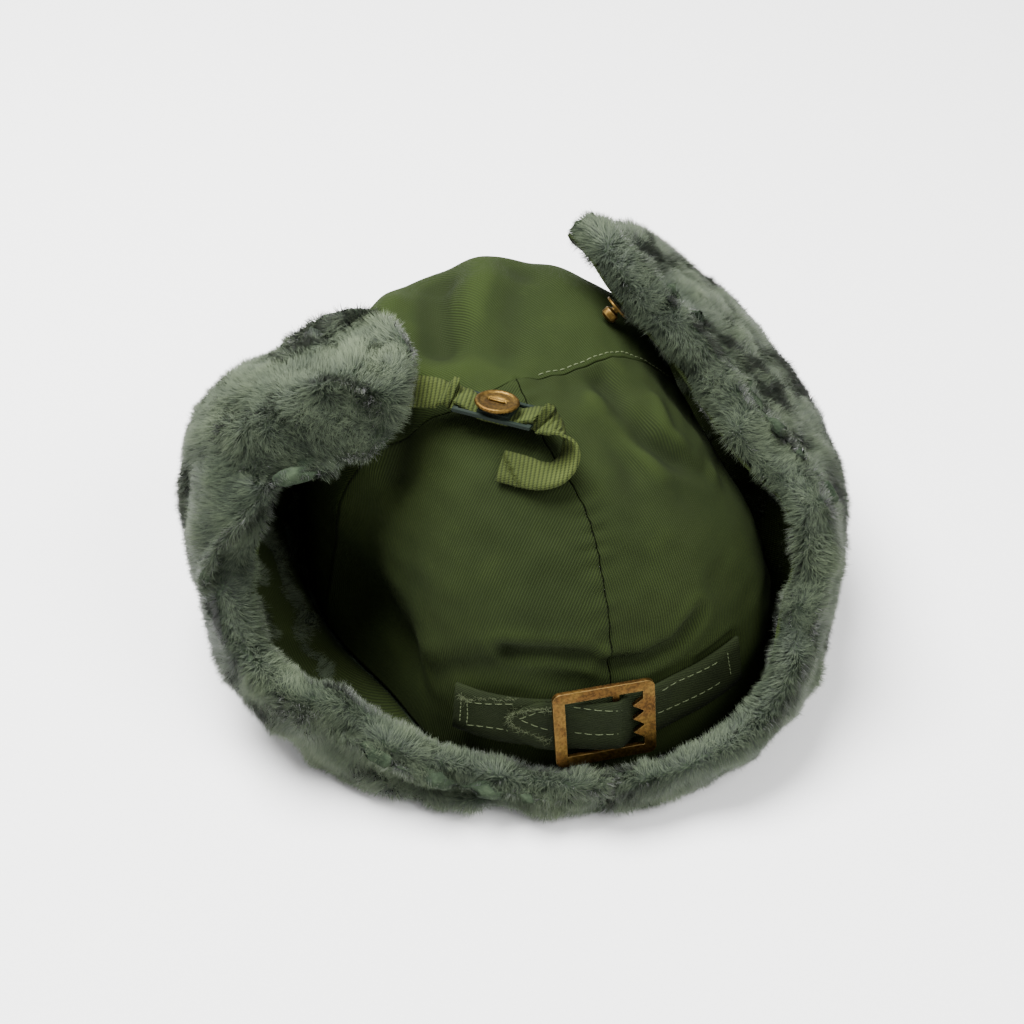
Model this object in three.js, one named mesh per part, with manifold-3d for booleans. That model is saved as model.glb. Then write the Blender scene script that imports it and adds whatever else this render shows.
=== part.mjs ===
// A winter field cap of green twill, with its fur-lined neck and ear flap turned up.
// Millimetres, +Z up. The wearer's front is along +Y and the wearer's right along +X.
// The cap stands on the fur under its turned-up flap; the origin is under its middle.
import * as THREE from 'three';
import { mergeVertices } from 'three/addons/utils/BufferGeometryUtils.js';
import Module from 'manifold-3d';

const wasm = await Module();
wasm.setup();

// Crown sizes
const crownReach = 105; // from the junction of the seams to the rim, before each direction's share
const crownHeight = 122; // the junction's height above the surface
const rimHeight = 8; // the crown's rim above the surface
const junctionBack = 5; // the junction lies this far behind the middle
const foldEnd = 0.84; // from here to the rim, the folds die out in the sewn edge
const clothWall = 1.6;
const pieceGap = 0.3; // clearance between neighbouring pieces

// Flap sizes
const flapRise = 150; // the right ear tip's cloth edge above the surface
const flapWall = 1.5;
const furDepth = 16;
const lockDepth = 2.0; // how far the locks of fur stand out of it
const furLip = 6; // how far the fur reaches in under the crown's rim

// Back strap and buckle sizes
const strapWidth = 21;
const strapThickness = 1.4;
const strapLift = 1.5; // from the crown to the middle of the strap's thickness
const strapShare = 0.83; // the strap's place on the crown, from the junction to the rim
const buckleWidth = 38;
const buckleHeight = 34;
const buckleBar = 4.4;
const buckleThickness = 1.8;
const buckleCorner = 3;
const buckleAngle = 2.2; // the buckle's place round the crown, in degrees from the back seam
const buckleLift = 4.2;
const toothLength = 4;
const toothCount = 3;
const centreBarWidth = 2.4;
const centreBarOffset = 4.5;

// Tie strap, slide and button sizes
const tieWidth = 12;
const tieThickness = 1.3;
const tieStation = 0.786; // where along the left ear flap's edge the tie strap is sewn
const tieUnder = 6; // from the flap's cloth down to the middle of the tie strap
const slideLength = 30;
const slideRail = 1.7;
const slideThickness = 1.2;
const slideSlot = 7.4;
const slideAngle = -33;
const slideShare = 0.15;
const slideLift = 7.2;
const slideHeading = -38; // degrees about Z
const slideTilt = 13; // degrees, the side towards the back raised
const seatThickness = 1.2;
const buttonDiameter = 16.5;
const buttonThickness = 2.4;
const buttonNeck = 0.9;
const buttonNeckDiameter = 7;
const buttonSet = 2.2; // from the slide's middle towards its back rail
const buttonSlotLength = 8.4;
const buttonSlotWidth = 4.2;

// Flap stud sizes
const studDiameter = 11;
const studThickness = 0.9;
const studNeck = 2.4;
const studKnobDiameter = 6.4;
const studKnobLength = 4.4;

// Numbers of facets
const crownRows = 14;
const columnDegrees = 10;
const flapStations = 37;
const frontStations = 14;
const pileRows = 8; // rows of facets up the flap's cloth and the fur on it

// The crown by direction: degrees from the back towards the wearer's right,
// the rim's share of crownReach, the roundness of the profile, and the extra height.
const crownStations = [
  { at: 0, reach: 0.94, boxiness: 2.15, lift: 0.0 },
  { at: 30, reach: 1.0, boxiness: 2.2, lift: 0.0 },
  { at: 55, reach: 1.03, boxiness: 2.25, lift: 0.0 },
  { at: 90, reach: 0.84, boxiness: 2.6, lift: 0.03 },
  { at: 130, reach: 0.9, boxiness: 3.2, lift: 0.12 },
  { at: 156, reach: 0.97, boxiness: 3.3, lift: 0.14 },
  { at: 180, reach: 1.02, boxiness: 3.4, lift: 0.12 },
  { at: 225, reach: 0.93, boxiness: 3.0, lift: 0.08 },
  { at: 265, reach: 0.75, boxiness: 2.5, lift: 0.02 },
  { at: 300, reach: 0.69, boxiness: 2.4, lift: 0.0 },
  { at: 330, reach: 0.86, boxiness: 2.2, lift: 0.0 },
];

// The seams: degrees at each share of the way from the junction to the rim.
const seams = {
  back: [
    { at: 0, angle: 2 },
    { at: 0.2, angle: 3 },
    { at: 0.35, angle: 9 },
    { at: 0.55, angle: 7 },
    { at: 1, angle: 2 },
  ],
  right: [
    { at: 0, angle: 76 },
    { at: 0.15, angle: 89 },
    { at: 0.3, angle: 98 },
    { at: 1, angle: 104 },
  ],
  left: [
    { at: 0, angle: -70 },
    { at: 0.2, angle: -76 },
    { at: 0.35, angle: -89 },
    { at: 1, angle: -96 },
  ],
};

// Folds of the crown, drawn on a disc whose rim is the crown's rim: from and to,
// half width, and height as a share of crownReach (below zero is a crease).
const crownFolds = [
  { fromX: 0.2, fromY: -0.05, toX: 0.23, toY: -0.2, width: 0.05, height: -0.025 },
  { fromX: 0.23, fromY: -0.2, toX: 0.37, toY: -0.27, width: 0.05, height: -0.025 },
  { fromX: -0.37, fromY: -0.55, toX: -0.1, toY: -0.6, width: 0.07, height: 0.02 },
  { fromX: -0.39, fromY: -0.64, toX: -0.1, toY: -0.7, width: 0.05, height: -0.025 },
  { fromX: 0.04, fromY: -0.62, toX: 0.27, toY: -0.58, width: 0.07, height: 0.025 },
  { fromX: 0.05, fromY: -0.72, toX: 0.33, toY: -0.65, width: 0.05, height: -0.02 },
  { fromX: -0.86, fromY: -0.1, toX: -0.74, toY: -0.42, width: 0.14, height: -0.12 },
  { fromX: -0.66, fromY: -0.28, toX: -0.56, toY: -0.5, width: 0.06, height: 0.03 },
  { fromX: -0.7, fromY: -0.5, toX: -0.6, toY: -0.72, width: 0.07, height: -0.04 },
  { fromX: -0.31, fromY: 0.06, toX: -0.45, toY: -0.14, width: 0.06, height: -0.04 },
  { fromX: -0.62, fromY: -0.08, toX: -0.72, toY: -0.14, width: 0.07, height: -0.04 },
  { fromX: -0.12, fromY: 0.2, toX: -0.07, toY: 0.5, width: 0.07, height: -0.045 },
  { fromX: 0.14, fromY: 0.25, toX: 0.16, toY: 0.5, width: 0.08, height: -0.03 },
  { fromX: 0.28, fromY: 0.23, toX: 0.44, toY: 0.1, width: 0.11, height: -0.035 },
  { fromX: 0.46, fromY: -0.28, toX: 0.55, toY: 0.0, width: 0.12, height: -0.035 },
];

// Half of the flap from the back seam to its front end. Angles are in degrees from the back.
// Reaches are shares of crownReach and rises of flapRise; the neck, where the cloth turns
// towards its edge, lies out from and down from the edge. Pile and bare hem are of furDepth.
const flapRight = [
  { root: 0, bellyAngle: 0, bellyReach: 0.99, bellyRise: 0.01, edgeAngle: 0, edgeReach: 1.035,
    edgeRise: 0.14, neckOut: 0, neckDown: 0.04, pile: 0.62, hem: 0 },
  { root: 18, bellyAngle: 18, bellyReach: 1.01, bellyRise: 0.01, edgeAngle: 11.8, edgeReach: 1.069,
    edgeRise: 0.145, neckOut: 0, neckDown: 0.04, pile: 0.66, hem: 0 },
  { root: 36, bellyAngle: 37, bellyReach: 1.04, bellyRise: 0.01, edgeAngle: 25, edgeReach: 1.13,
    edgeRise: 0.19, neckOut: 0, neckDown: 0.05, pile: 0.7, hem: 0 },
  { root: 52, bellyAngle: 54, bellyReach: 1.11, bellyRise: 0.03, edgeAngle: 35.3, edgeReach: 1.129,
    edgeRise: 0.264, neckOut: 0, neckDown: 0.06, pile: 0.8, hem: 0 },
  { root: 66, bellyAngle: 68, bellyReach: 1.21, bellyRise: 0.09, edgeAngle: 44.7, edgeReach: 1.071,
    edgeRise: 0.345, neckOut: 0, neckDown: 0.08, pile: 0.9, hem: 0 },
  { root: 77, bellyAngle: 80, bellyReach: 1.31, bellyRise: 0.18, edgeAngle: 53.3, edgeReach: 1.061,
    edgeRise: 0.48, neckOut: 0, neckDown: 0.1, pile: 0.95, hem: 0 },
  { root: 86, bellyAngle: 90, bellyReach: 1.46, bellyRise: 0.26, edgeAngle: 60.7, edgeReach: 0.977,
    edgeRise: 0.547, neckOut: 0.02, neckDown: 0.12, pile: 1, hem: 0 },
  { root: 94, bellyAngle: 98, bellyReach: 1.62, bellyRise: 0.34, edgeAngle: 65.3, edgeReach: 0.812,
    edgeRise: 0.613, neckOut: 0.04, neckDown: 0.12, pile: 1.05, hem: 0 },
  { root: 102, bellyAngle: 106, bellyReach: 1.67, bellyRise: 0.42, edgeAngle: 77.2, edgeReach: 0.68,
    edgeRise: 0.693, neckOut: 0.06, neckDown: 0.14, pile: 1.1, hem: 0 },
  { root: 110, bellyAngle: 114, bellyReach: 1.66, bellyRise: 0.5, edgeAngle: 91.9, edgeReach: 0.584,
    edgeRise: 0.78, neckOut: 0.06, neckDown: 0.17, pile: 1.1, hem: 0 },
  { root: 117, bellyAngle: 122, bellyReach: 1.72, bellyRise: 0.58, edgeAngle: 106.5, edgeReach: 0.504,
    edgeRise: 0.86, neckOut: 0.05, neckDown: 0.19, pile: 1.1, hem: 0 },
  { root: 124, bellyAngle: 129, bellyReach: 1.71, bellyRise: 0.65, edgeAngle: 124, edgeReach: 0.504,
    edgeRise: 0.913, neckOut: 0.04, neckDown: 0.19, pile: 1, hem: 0 },
  { root: 130, bellyAngle: 134, bellyReach: 1.64, bellyRise: 0.74, edgeAngle: 138.6, edgeReach: 0.579,
    edgeRise: 0.953, neckOut: 0.02, neckDown: 0.17, pile: 0.9, hem: 0 },
  { root: 134, bellyAngle: 137, bellyReach: 1.5, bellyRise: 0.76, edgeAngle: 145, edgeReach: 0.61,
    edgeRise: 0.965, neckOut: 0, neckDown: 0.14, pile: 0.7, hem: 0 },
];
const flapLeft = [
  { root: 0, bellyAngle: 0, bellyReach: 0.99, bellyRise: 0.01, edgeAngle: 0, edgeReach: 1.035,
    edgeRise: 0.14, neckOut: 0, neckDown: 0.04, pile: 0.62, hem: 0 },
  { root: 18, bellyAngle: 18, bellyReach: 1, bellyRise: 0.01, edgeAngle: 12.6, edgeReach: 0.93,
    edgeRise: 0.106, neckOut: 0, neckDown: 0.04, pile: 0.75, hem: 0 },
  { root: 34, bellyAngle: 34, bellyReach: 1.03, bellyRise: 0.02, edgeAngle: 27.1, edgeReach: 0.904,
    edgeRise: 0.121, neckOut: 0, neckDown: 0.05, pile: 0.85, hem: 0 },
  { root: 50, bellyAngle: 50, bellyReach: 1.17, bellyRise: 0.03, edgeAngle: 40.3, edgeReach: 0.923,
    edgeRise: 0.155, neckOut: 0, neckDown: 0.06, pile: 0.95, hem: 0 },
  { root: 64, bellyAngle: 66, bellyReach: 1.22, bellyRise: 0.07, edgeAngle: 56.3, edgeReach: 0.943,
    edgeRise: 0.233, neckOut: 0, neckDown: 0.09, pile: 1, hem: 0 },
  { root: 78, bellyAngle: 78, bellyReach: 1.13, bellyRise: 0.15, edgeAngle: 65.3, edgeReach: 1.069,
    edgeRise: 0.294, neckOut: 0, neckDown: 0.12, pile: 1, hem: 0 },
  { root: 90, bellyAngle: 91, bellyReach: 1.12, bellyRise: 0.25, edgeAngle: 77.3, edgeReach: 1.07,
    edgeRise: 0.372, neckOut: 0.01, neckDown: 0.13, pile: 1, hem: 0 },
  { root: 100, bellyAngle: 102, bellyReach: 1.2, bellyRise: 0.34, edgeAngle: 82.3, edgeReach: 1.013,
    edgeRise: 0.46, neckOut: 0.04, neckDown: 0.12, pile: 1.05, hem: 0 },
  { root: 109, bellyAngle: 111, bellyReach: 1.27, bellyRise: 0.45, edgeAngle: 86.1, edgeReach: 0.956,
    edgeRise: 0.564, neckOut: 0.1, neckDown: 0.08, pile: 1.1, hem: 0 },
  { root: 117, bellyAngle: 119, bellyReach: 1.34, bellyRise: 0.54, edgeAngle: 91.6, edgeReach: 0.839,
    edgeRise: 0.735, neckOut: 0.16, neckDown: 0.03, pile: 1.1, hem: 0 },
  { root: 124, bellyAngle: 126, bellyReach: 1.46, bellyRise: 0.61, edgeAngle: 86.7, edgeReach: 0.648,
    edgeRise: 0.846, neckOut: 0.22, neckDown: 0.02, pile: 1, hem: 0 },
  { root: 130, bellyAngle: 132, bellyReach: 1.48, bellyRise: 0.65, edgeAngle: 83.4, edgeReach: 0.483,
    edgeRise: 0.882, neckOut: 0.24, neckDown: 0.0, pile: 0.85, hem: 0 },
  { root: 134, bellyAngle: 136, bellyReach: 1.29, bellyRise: 0.67, edgeAngle: 92.6, edgeReach: 0.399,
    edgeRise: 0.901, neckOut: 0.22, neckDown: 0.01, pile: 0.75, hem: 0 },
  { root: 137, bellyAngle: 140, bellyReach: 1.16, bellyRise: 0.66, edgeAngle: 105.9, edgeReach: 0.407,
    edgeRise: 0.91, neckOut: 0.18, neckDown: 0.02, pile: 0.7, hem: 0 },
  { root: 140, bellyAngle: 143, bellyReach: 1.12, bellyRise: 0.63, edgeAngle: 128, edgeReach: 0.56,
    edgeRise: 0.88, neckOut: 0.1, neckDown: 0.02, pile: 0.65, hem: 0 },
];

// The front flap, turned up against the crown from one temple to the other.
const flapFront = [
  { root: 147, bellyAngle: 147, bellyReach: 0.99, bellyRise: 0.1, edgeAngle: 148, edgeReach: 0.965,
    edgeRise: 0.27, neckOut: 0, neckDown: 0.05, pile: 0.5, hem: 0 },
  { root: 157, bellyAngle: 157, bellyReach: 1.05, bellyRise: 0.13, edgeAngle: 158, edgeReach: 1,
    edgeRise: 0.35, neckOut: 0, neckDown: 0.05, pile: 0.8, hem: 0 },
  { root: 180, bellyAngle: 180, bellyReach: 1.09, bellyRise: 0.14, edgeAngle: 180, edgeReach: 1.045,
    edgeRise: 0.38, neckOut: 0, neckDown: 0.05, pile: 0.85, hem: 0 },
  { root: 203, bellyAngle: 203, bellyReach: 1.06, bellyRise: 0.13, edgeAngle: 202, edgeReach: 1.01,
    edgeRise: 0.35, neckOut: 0, neckDown: 0.05, pile: 0.8, hem: 0 },
  { root: 212, bellyAngle: 212, bellyReach: 1, bellyRise: 0.1, edgeAngle: 211, edgeReach: 0.98,
    edgeRise: 0.27, neckOut: 0, neckDown: 0.05, pile: 0.5, hem: 0 },
];

// The fur's nose past the cloth's edge: how far up, and how far out of the cloth,
// as shares of the pile's thickness and of the bare hem.
const noseShape = [
  { reach: 0.42, pile: 0.92, hem: 0 },
  { reach: 0.62, pile: 0.55, hem: 0.3 },
  { reach: 0.5, pile: 0.1, hem: 1 },
];

// Grooves in the fur where the pile parts: station and height on the flap, both as
// shares from its start to its end, half width, and depth as a share of furDepth.
const furGrooves = {
  right: [
    { fromStation: 0.3, fromRise: 0.3, toStation: 0.44, toRise: 0.55, width: 0.05, depth: 0.2 },
    { fromStation: 0.6, fromRise: 0.78, toStation: 0.84, toRise: 0.8, width: 0.045, depth: 0.16 },
  ],
  left: [
    { fromStation: 0.16, fromRise: 0.5, toStation: 0.36, toRise: 0.4, width: 0.06, depth: 0.4 },
    { fromStation: 0.6, fromRise: 0.5, toStation: 0.8, toRise: 0.62, width: 0.05, depth: 0.15 },
  ],
};


// The tie strap before and after the slide: place on the crown, and height above it
// as a share of tieWidth. Lean is in degrees, from lying flat towards standing on edge.
const tieBefore = [
  { angle: -84, share: 0.235, height: 0.9, lean: 0 },
  { angle: -76, share: 0.212, height: 0.98, lean: 0 },
];
const tieAfter = [
  { angle: 3, share: 0.187, height: 1.0, lean: 0 },
  { angle: 9, share: 0.21, height: 0.93, lean: -10 },
  { angle: 11.5, share: 0.24, height: 0.75, lean: -25 },
  { angle: 9, share: 0.268, height: 0.52, lean: -35 },
  { angle: 2, share: 0.288, height: 0.32, lean: -30 },
  { angle: -6, share: 0.288, height: 0.25, lean: -15 },
  { angle: -14, share: 0.277, height: 0.22, lean: 0 },
  { angle: -25, share: 0.272, height: 0.22, lean: 0 },
];

const finishes = {
  twill: { color: 0x3d5228, roughness: 0.9, metalness: 0 },
  fur: { color: 0x48604a, roughness: 1, metalness: 0 },
  webbing: { color: 0x566a3a, roughness: 0.9, metalness: 0 },
  brass: { color: 0xa9813c, roughness: 0.4, metalness: 1 },
  enamel: { color: 0x35423a, roughness: 0.35, metalness: 0.6 },
};

const cap = new THREE.Group();

function addPiece(name, geometry, finish) {
  const mesh = new THREE.Mesh(geometry, new THREE.MeshStandardMaterial(finishes[finish]));
  mesh.name = name;
  cap.add(mesh);
  return mesh;
}

function radians(degrees) {
  return (degrees * Math.PI) / 180;
}

function mix(a, b, share) {
  return a + (b - a) * share;
}

// Reads every column of a table at a place between its rows, on a smooth curve.
function readTable(rows, at, period = 0) {
  let table = rows;
  let place = at;
  if (period > 0) {
    place = ((at % period) + period) % period;
    const before = rows.slice(-2).map((row) => ({ ...row, at: row.at - period }));
    const after = rows.slice(0, 2).map((row) => ({ ...row, at: row.at + period }));
    table = [...before, ...rows, ...after];
  }
  const last = table.length - 1;
  let index = 0;
  while (index < last - 1 && table[index + 1].at <= place) {
    index += 1;
  }
  const span = table[index + 1].at - table[index].at;
  const u = (place - table[index].at) / span;
  const slope = (row, column) => {
    const low = table[Math.max(row - 1, 0)];
    const high = table[Math.min(row + 1, last)];
    return (high[column] - low[column]) / (high.at - low.at);
  };
  const values = {};
  for (const column of Object.keys(table[0])) {
    const start = (2 * u ** 3 - 3 * u ** 2 + 1) * table[index][column];
    const end = (3 * u ** 2 - 2 * u ** 3) * table[index + 1][column];
    const startSlope = (u ** 3 - 2 * u ** 2 + u) * span * slope(index, column);
    const endSlope = (u ** 3 - u ** 2) * span * slope(index + 1, column);
    values[column] = start + end + startSlope + endSlope;
  }
  return values;
}

// A point at an angle from the back and a distance from the junction's upright.
function polar(angle, reach, height) {
  const turn = radians(angle);
  return new THREE.Vector3(reach * Math.sin(turn), -junctionBack - reach * Math.cos(turn), height);
}

// Closes a wall between an outer and an inner grid of points into one body.
function wallBetween(outer, inner) {
  const rows = outer.length;
  const columns = outer[0].length;
  const triangles = [];
  const quad = (a, b, c, d) => {
    triangles.push(a, b, c, a, c, d);
  };
  for (let i = 0; i < rows - 1; i += 1) {
    for (let j = 0; j < columns - 1; j += 1) {
      quad(outer[i][j], outer[i + 1][j], outer[i + 1][j + 1], outer[i][j + 1]);
      quad(inner[i][j], inner[i][j + 1], inner[i + 1][j + 1], inner[i + 1][j]);
    }
  }
  for (let i = 0; i < rows - 1; i += 1) {
    const end = columns - 1;
    quad(outer[i][0], inner[i][0], inner[i + 1][0], outer[i + 1][0]);
    quad(outer[i][end], outer[i + 1][end], inner[i + 1][end], inner[i][end]);
  }
  for (let j = 0; j < columns - 1; j += 1) {
    const end = rows - 1;
    quad(outer[0][j], outer[0][j + 1], inner[0][j + 1], inner[0][j]);
    quad(outer[end][j], inner[end][j], inner[end][j + 1], outer[end][j + 1]);
  }
  return closedGeometry(triangles);
}

// Welds a list of triangle corners, drops the flat ones and faces the body outward.
function closedGeometry(corners) {
  const soup = new THREE.BufferGeometry().setFromPoints(corners);
  const welded = mergeVertices(soup, 1e-4);
  const place = welded.getAttribute('position');
  const index = welded.getIndex().array;
  const kept = [];
  let volume = 0;
  const [a, b, c] = [new THREE.Vector3(), new THREE.Vector3(), new THREE.Vector3()];
  for (let i = 0; i < index.length; i += 3) {
    const [p, q, r] = [index[i], index[i + 1], index[i + 2]];
    if (p !== q && q !== r && r !== p) {
      kept.push([p, q, r]);
      a.fromBufferAttribute(place, p);
      b.fromBufferAttribute(place, q);
      c.fromBufferAttribute(place, r);
      volume += a.dot(b.cross(c));
    }
  }
  const facing = volume > 0 ? kept : kept.map(([p, q, r]) => [p, r, q]);
  welded.setIndex(facing.flat());
  welded.computeVertexNormals();
  return welded;
}

// The crown's surface without its folds.
function crownForm(angle, share) {
  const station = readTable(crownStations, angle, 360);
  const turn = (share * Math.PI) / 2;
  const [across, up] = [Math.sin(turn), Math.max(Math.cos(turn), 0)];
  const norm = (across ** station.boxiness + up ** station.boxiness) ** (-1 / station.boxiness);
  const reach = crownReach * station.reach * across * norm;
  const lift = crownHeight * station.lift * Math.sin(share * Math.PI) ** 2;
  return polar(angle, reach, rimHeight + (crownHeight - rimHeight) * up * norm + lift);
}

function crownNormal(angle, share) {
  if (share < 0.02) {
    return new THREE.Vector3(0, 0, 1);
  }
  const step = 0.01;
  const round = crownForm(angle + 0.5, share).sub(crownForm(angle - 0.5, share));
  const down = crownForm(angle, Math.min(share + step, 1)).sub(crownForm(angle, share - step));
  return down.cross(round).normalize();
}

function foldHeight(angle, share) {
  const x = share * Math.sin(radians(angle));
  const y = -share * Math.cos(radians(angle));
  let height = 0;
  for (const fold of crownFolds) {
    const [alongX, alongY] = [fold.toX - fold.fromX, fold.toY - fold.fromY];
    const reach = ((x - fold.fromX) * alongX + (y - fold.fromY) * alongY) / (alongX ** 2 + alongY ** 2);
    const held = THREE.MathUtils.clamp(reach, 0, 1);
    const away = Math.hypot(x - fold.fromX - held * alongX, y - fold.fromY - held * alongY);
    height += fold.height * crownReach * Math.exp(-((away / fold.width) ** 2));
  }
  return height * (1 - THREE.MathUtils.smoothstep(share, foldEnd, 1));
}

// A point on the crown, raised off its outside by lift.
function crownPoint(angle, share, lift = 0) {
  const height = foldHeight(angle, share) + lift;
  return crownForm(angle, share).addScaledVector(crownNormal(angle, share), height);
}

// One panel of the crown between two seams, moved out of its neighbours' way.
function crownPanel(fromSeam, toSeam, turn) {
  const angleAt = (seam, share) => readTable(seam, share).angle + (seam === seams.left ? turn : 0);
  const spread = angleAt(toSeam, 1) - angleAt(fromSeam, 1);
  const columns = Math.round(spread / columnDegrees);
  const middle = angleAt(fromSeam, 1) + spread / 2;
  const shift = polar(middle, pieceGap, 0).sub(polar(middle, 0, 0));
  const grid = (lift) => {
    const rows = [];
    for (let i = 0; i <= crownRows; i += 1) {
      const share = i / crownRows;
      const row = [];
      for (let j = 0; j <= columns; j += 1) {
        const angle = mix(angleAt(fromSeam, share), angleAt(toSeam, share), j / columns);
        const point = share === 0 ? crownPoint(0, 0, lift) : crownPoint(angle, share, lift);
        row.push(point.add(shift));
      }
      rows.push(row);
    }
    return rows;
  };
  return wallBetween(grid(0), grid(-clothWall));
}

// Gives a flap half's rows their place along the flap.
function asStations(rows) {
  return rows.map((row, index) => ({ ...row, at: index / (rows.length - 1) }));
}

const right = {
  side: 1, steps: flapStations, meetsAtBack: true, stations: asStations(flapRight), grooves: furGrooves.right,
};
const left = {
  side: -1, steps: flapStations, meetsAtBack: true, stations: asStations(flapLeft), grooves: furGrooves.left,
};
const front = {
  side: 1, steps: frontStations, meetsAtBack: false, stations: asStations(flapFront), grooves: [],
};

// The flap's cloth on the side that faces the crown: station and rise run from 0 to 1.
function flapPoint(half, station, rise) {
  const row = readTable(half.stations, station);
  const rim = crownReach * readTable(crownStations, half.side * row.root, 360).reach;
  const root = polar(half.side * row.root, rim + 2 * pieceGap, rimHeight - 1);
  const belly = polar(half.side * row.bellyAngle, crownReach * row.bellyReach, flapRise * row.bellyRise);
  const edge = polar(half.side * row.edgeAngle, crownReach * row.edgeReach, flapRise * row.edgeRise);
  const neckReach = crownReach * (row.edgeReach + row.neckOut);
  const neck = polar(half.side * row.edgeAngle, neckReach, flapRise * (row.edgeRise - row.neckDown));
  return root
    .multiplyScalar((1 - rise) ** 3)
    .addScaledVector(belly, 3 * rise * (1 - rise) ** 2)
    .addScaledVector(neck, 3 * rise ** 2 * (1 - rise))
    .addScaledVector(edge, rise ** 3);
}

function flapUpward(half, station, rise) {
  const low = flapPoint(half, station, Math.max(rise - 0.02, 0));
  return flapPoint(half, station, Math.min(rise + 0.02, 1)).sub(low).normalize();
}

// The direction out of the cloth into the fur; the halves meet flat at the back seam.
function flapOutward(half, station, rise) {
  const before = flapPoint(half, Math.max(station - 0.005, 0), rise);
  const along = flapPoint(half, Math.min(station + 0.005, 1), rise).sub(before);
  const outward = along.cross(flapUpward(half, station, rise)).multiplyScalar(half.side);
  if (half.meetsAtBack && station === 0) {
    outward.setX(0);
  }
  return outward.normalize();
}

function shiftedGrid(half, makeLine) {
  const rows = [];
  const shift = new THREE.Vector3(half.meetsAtBack ? half.side * pieceGap * 0.5 : 0, 0, 0);
  for (let i = 0; i <= half.steps; i += 1) {
    rows.push(makeLine(i).map((point) => point.add(shift)));
  }
  return rows;
}

function flapCloth(half) {
  const line = (lift) => (i) => {
    const points = [];
    for (let j = 0; j <= pileRows; j += 1) {
      const place = [half, i / half.steps, j / pileRows];
      points.push(flapPoint(...place).addScaledVector(flapOutward(...place), lift));
    }
    return points;
  };
  return wallBetween(shiftedGrid(half, line(flapWall)), shiftedGrid(half, line(0)));
}

// How far a groove or the locks move the fur's outside at a place on the flap.
function furRelief(half, i, j) {
  if (i === 0 || i === half.steps) {
    return 0;
  }
  const [x, y] = [i / half.steps, j / (pileRows + noseShape.length + 1)];
  let relief = lockDepth * ((i + j) % 2 === 0 ? 0.5 : -0.5);
  for (const groove of half.grooves) {
    const along = [groove.toStation - groove.fromStation, groove.toRise - groove.fromRise];
    const reach = (x - groove.fromStation) * along[0] + (y - groove.fromRise) * along[1];
    const held = THREE.MathUtils.clamp(reach / (along[0] ** 2 + along[1] ** 2), 0, 1);
    const away = Math.hypot(
      x - groove.fromStation - held * along[0],
      y - groove.fromRise - held * along[1],
    );
    relief -= groove.depth * furDepth * Math.exp(-((away / groove.width) ** 2));
  }
  return relief;
}

// The fur's section at one station: a lip under the rim, the pile on the cloth,
// and a nose that curls over the cloth's edge.
function furLine(half, i, isOuter) {
  const station = i / half.steps;
  const row = readTable(half.stations, station);
  const pile = furDepth * row.pile;
  const back = flapWall + pieceGap;
  const points = [];
  const rim = crownReach * readTable(crownStations, half.side * row.root, 360).reach;
  const bend = flapPoint(half, station, 0).addScaledVector(flapOutward(half, station, 0), back);
  const lipHeight = Math.min(bend.z, rimHeight - clothWall);
  points.push(polar(half.side * row.root, rim - furLip, isOuter ? 0 : lipHeight));
  for (let j = 0; j <= pileRows; j += 1) {
    const rise = j / pileRows;
    const full = Math.sin((Math.min(rise * 1.6, 1) * Math.PI) / 2);
    const thickness = isOuter ? pile * mix(0.62, 1, full) + furRelief(half, i, j + 1) : 0;
    const outward = flapOutward(half, station, rise);
    points.push(flapPoint(half, station, rise).addScaledVector(outward, back + thickness));
  }
  const edge = flapPoint(half, station, 1);
  const outward = flapOutward(half, station, 1);
  const upward = flapUpward(half, station, 1);
  const hem = furDepth * row.hem;
  const nose = noseShape.map((step) => ({
    reach: step.reach * pile,
    lift: back + step.pile * pile + step.hem * hem,
  }));
  const tip = nose[nose.length - 1];
  nose.forEach((step, j) => {
    const share = (j + 1) / nose.length;
    const reach = isOuter ? step.reach : tip.reach * share;
    const lift = isOuter ? step.lift : mix(back, tip.lift, share);
    points.push(edge.clone().addScaledVector(outward, lift).addScaledVector(upward, reach));
  });
  return points.map((point) => point.setZ(Math.max(point.z, 0)));
}

function flapFur(half) {
  const outer = shiftedGrid(half, (i) => furLine(half, i, true));
  const inner = shiftedGrid(half, (i) => furLine(half, i, false));
  return wallBetween(outer, inner);
}

function cornersOf(geometry) {
  const place = geometry.getAttribute('position');
  const index = geometry.getIndex();
  const count = index ? index.count : place.count;
  const corners = [];
  for (let i = 0; i < count; i += 1) {
    corners.push(new THREE.Vector3().fromBufferAttribute(place, index ? index.getX(i) : i));
  }
  return corners;
}

function solidFrom(geometry) {
  const welded = closedGeometry(cornersOf(geometry));
  const vertProperties = new Float32Array(welded.getAttribute('position').array);
  const triVerts = new Uint32Array(welded.getIndex().array);
  return new wasm.Manifold(new wasm.Mesh({ numProp: 3, vertProperties, triVerts }));
}

function geometryFrom(solid) {
  const mesh = solid.getMesh();
  const geometry = new THREE.BufferGeometry();
  geometry.setAttribute('position', new THREE.BufferAttribute(mesh.vertProperties, 3));
  geometry.setIndex(new THREE.BufferAttribute(mesh.triVerts, 1));
  geometry.computeVertexNormals();
  return geometry;
}

// A flat plate of an outline, with its middle at height 0.
function plateFrom(outline, thickness) {
  const plate = new THREE.ExtrudeGeometry(outline, { depth: thickness, bevelEnabled: false, curveSegments: 4 });
  return solidFrom(plate.translate(0, 0, -thickness / 2));
}

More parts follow.
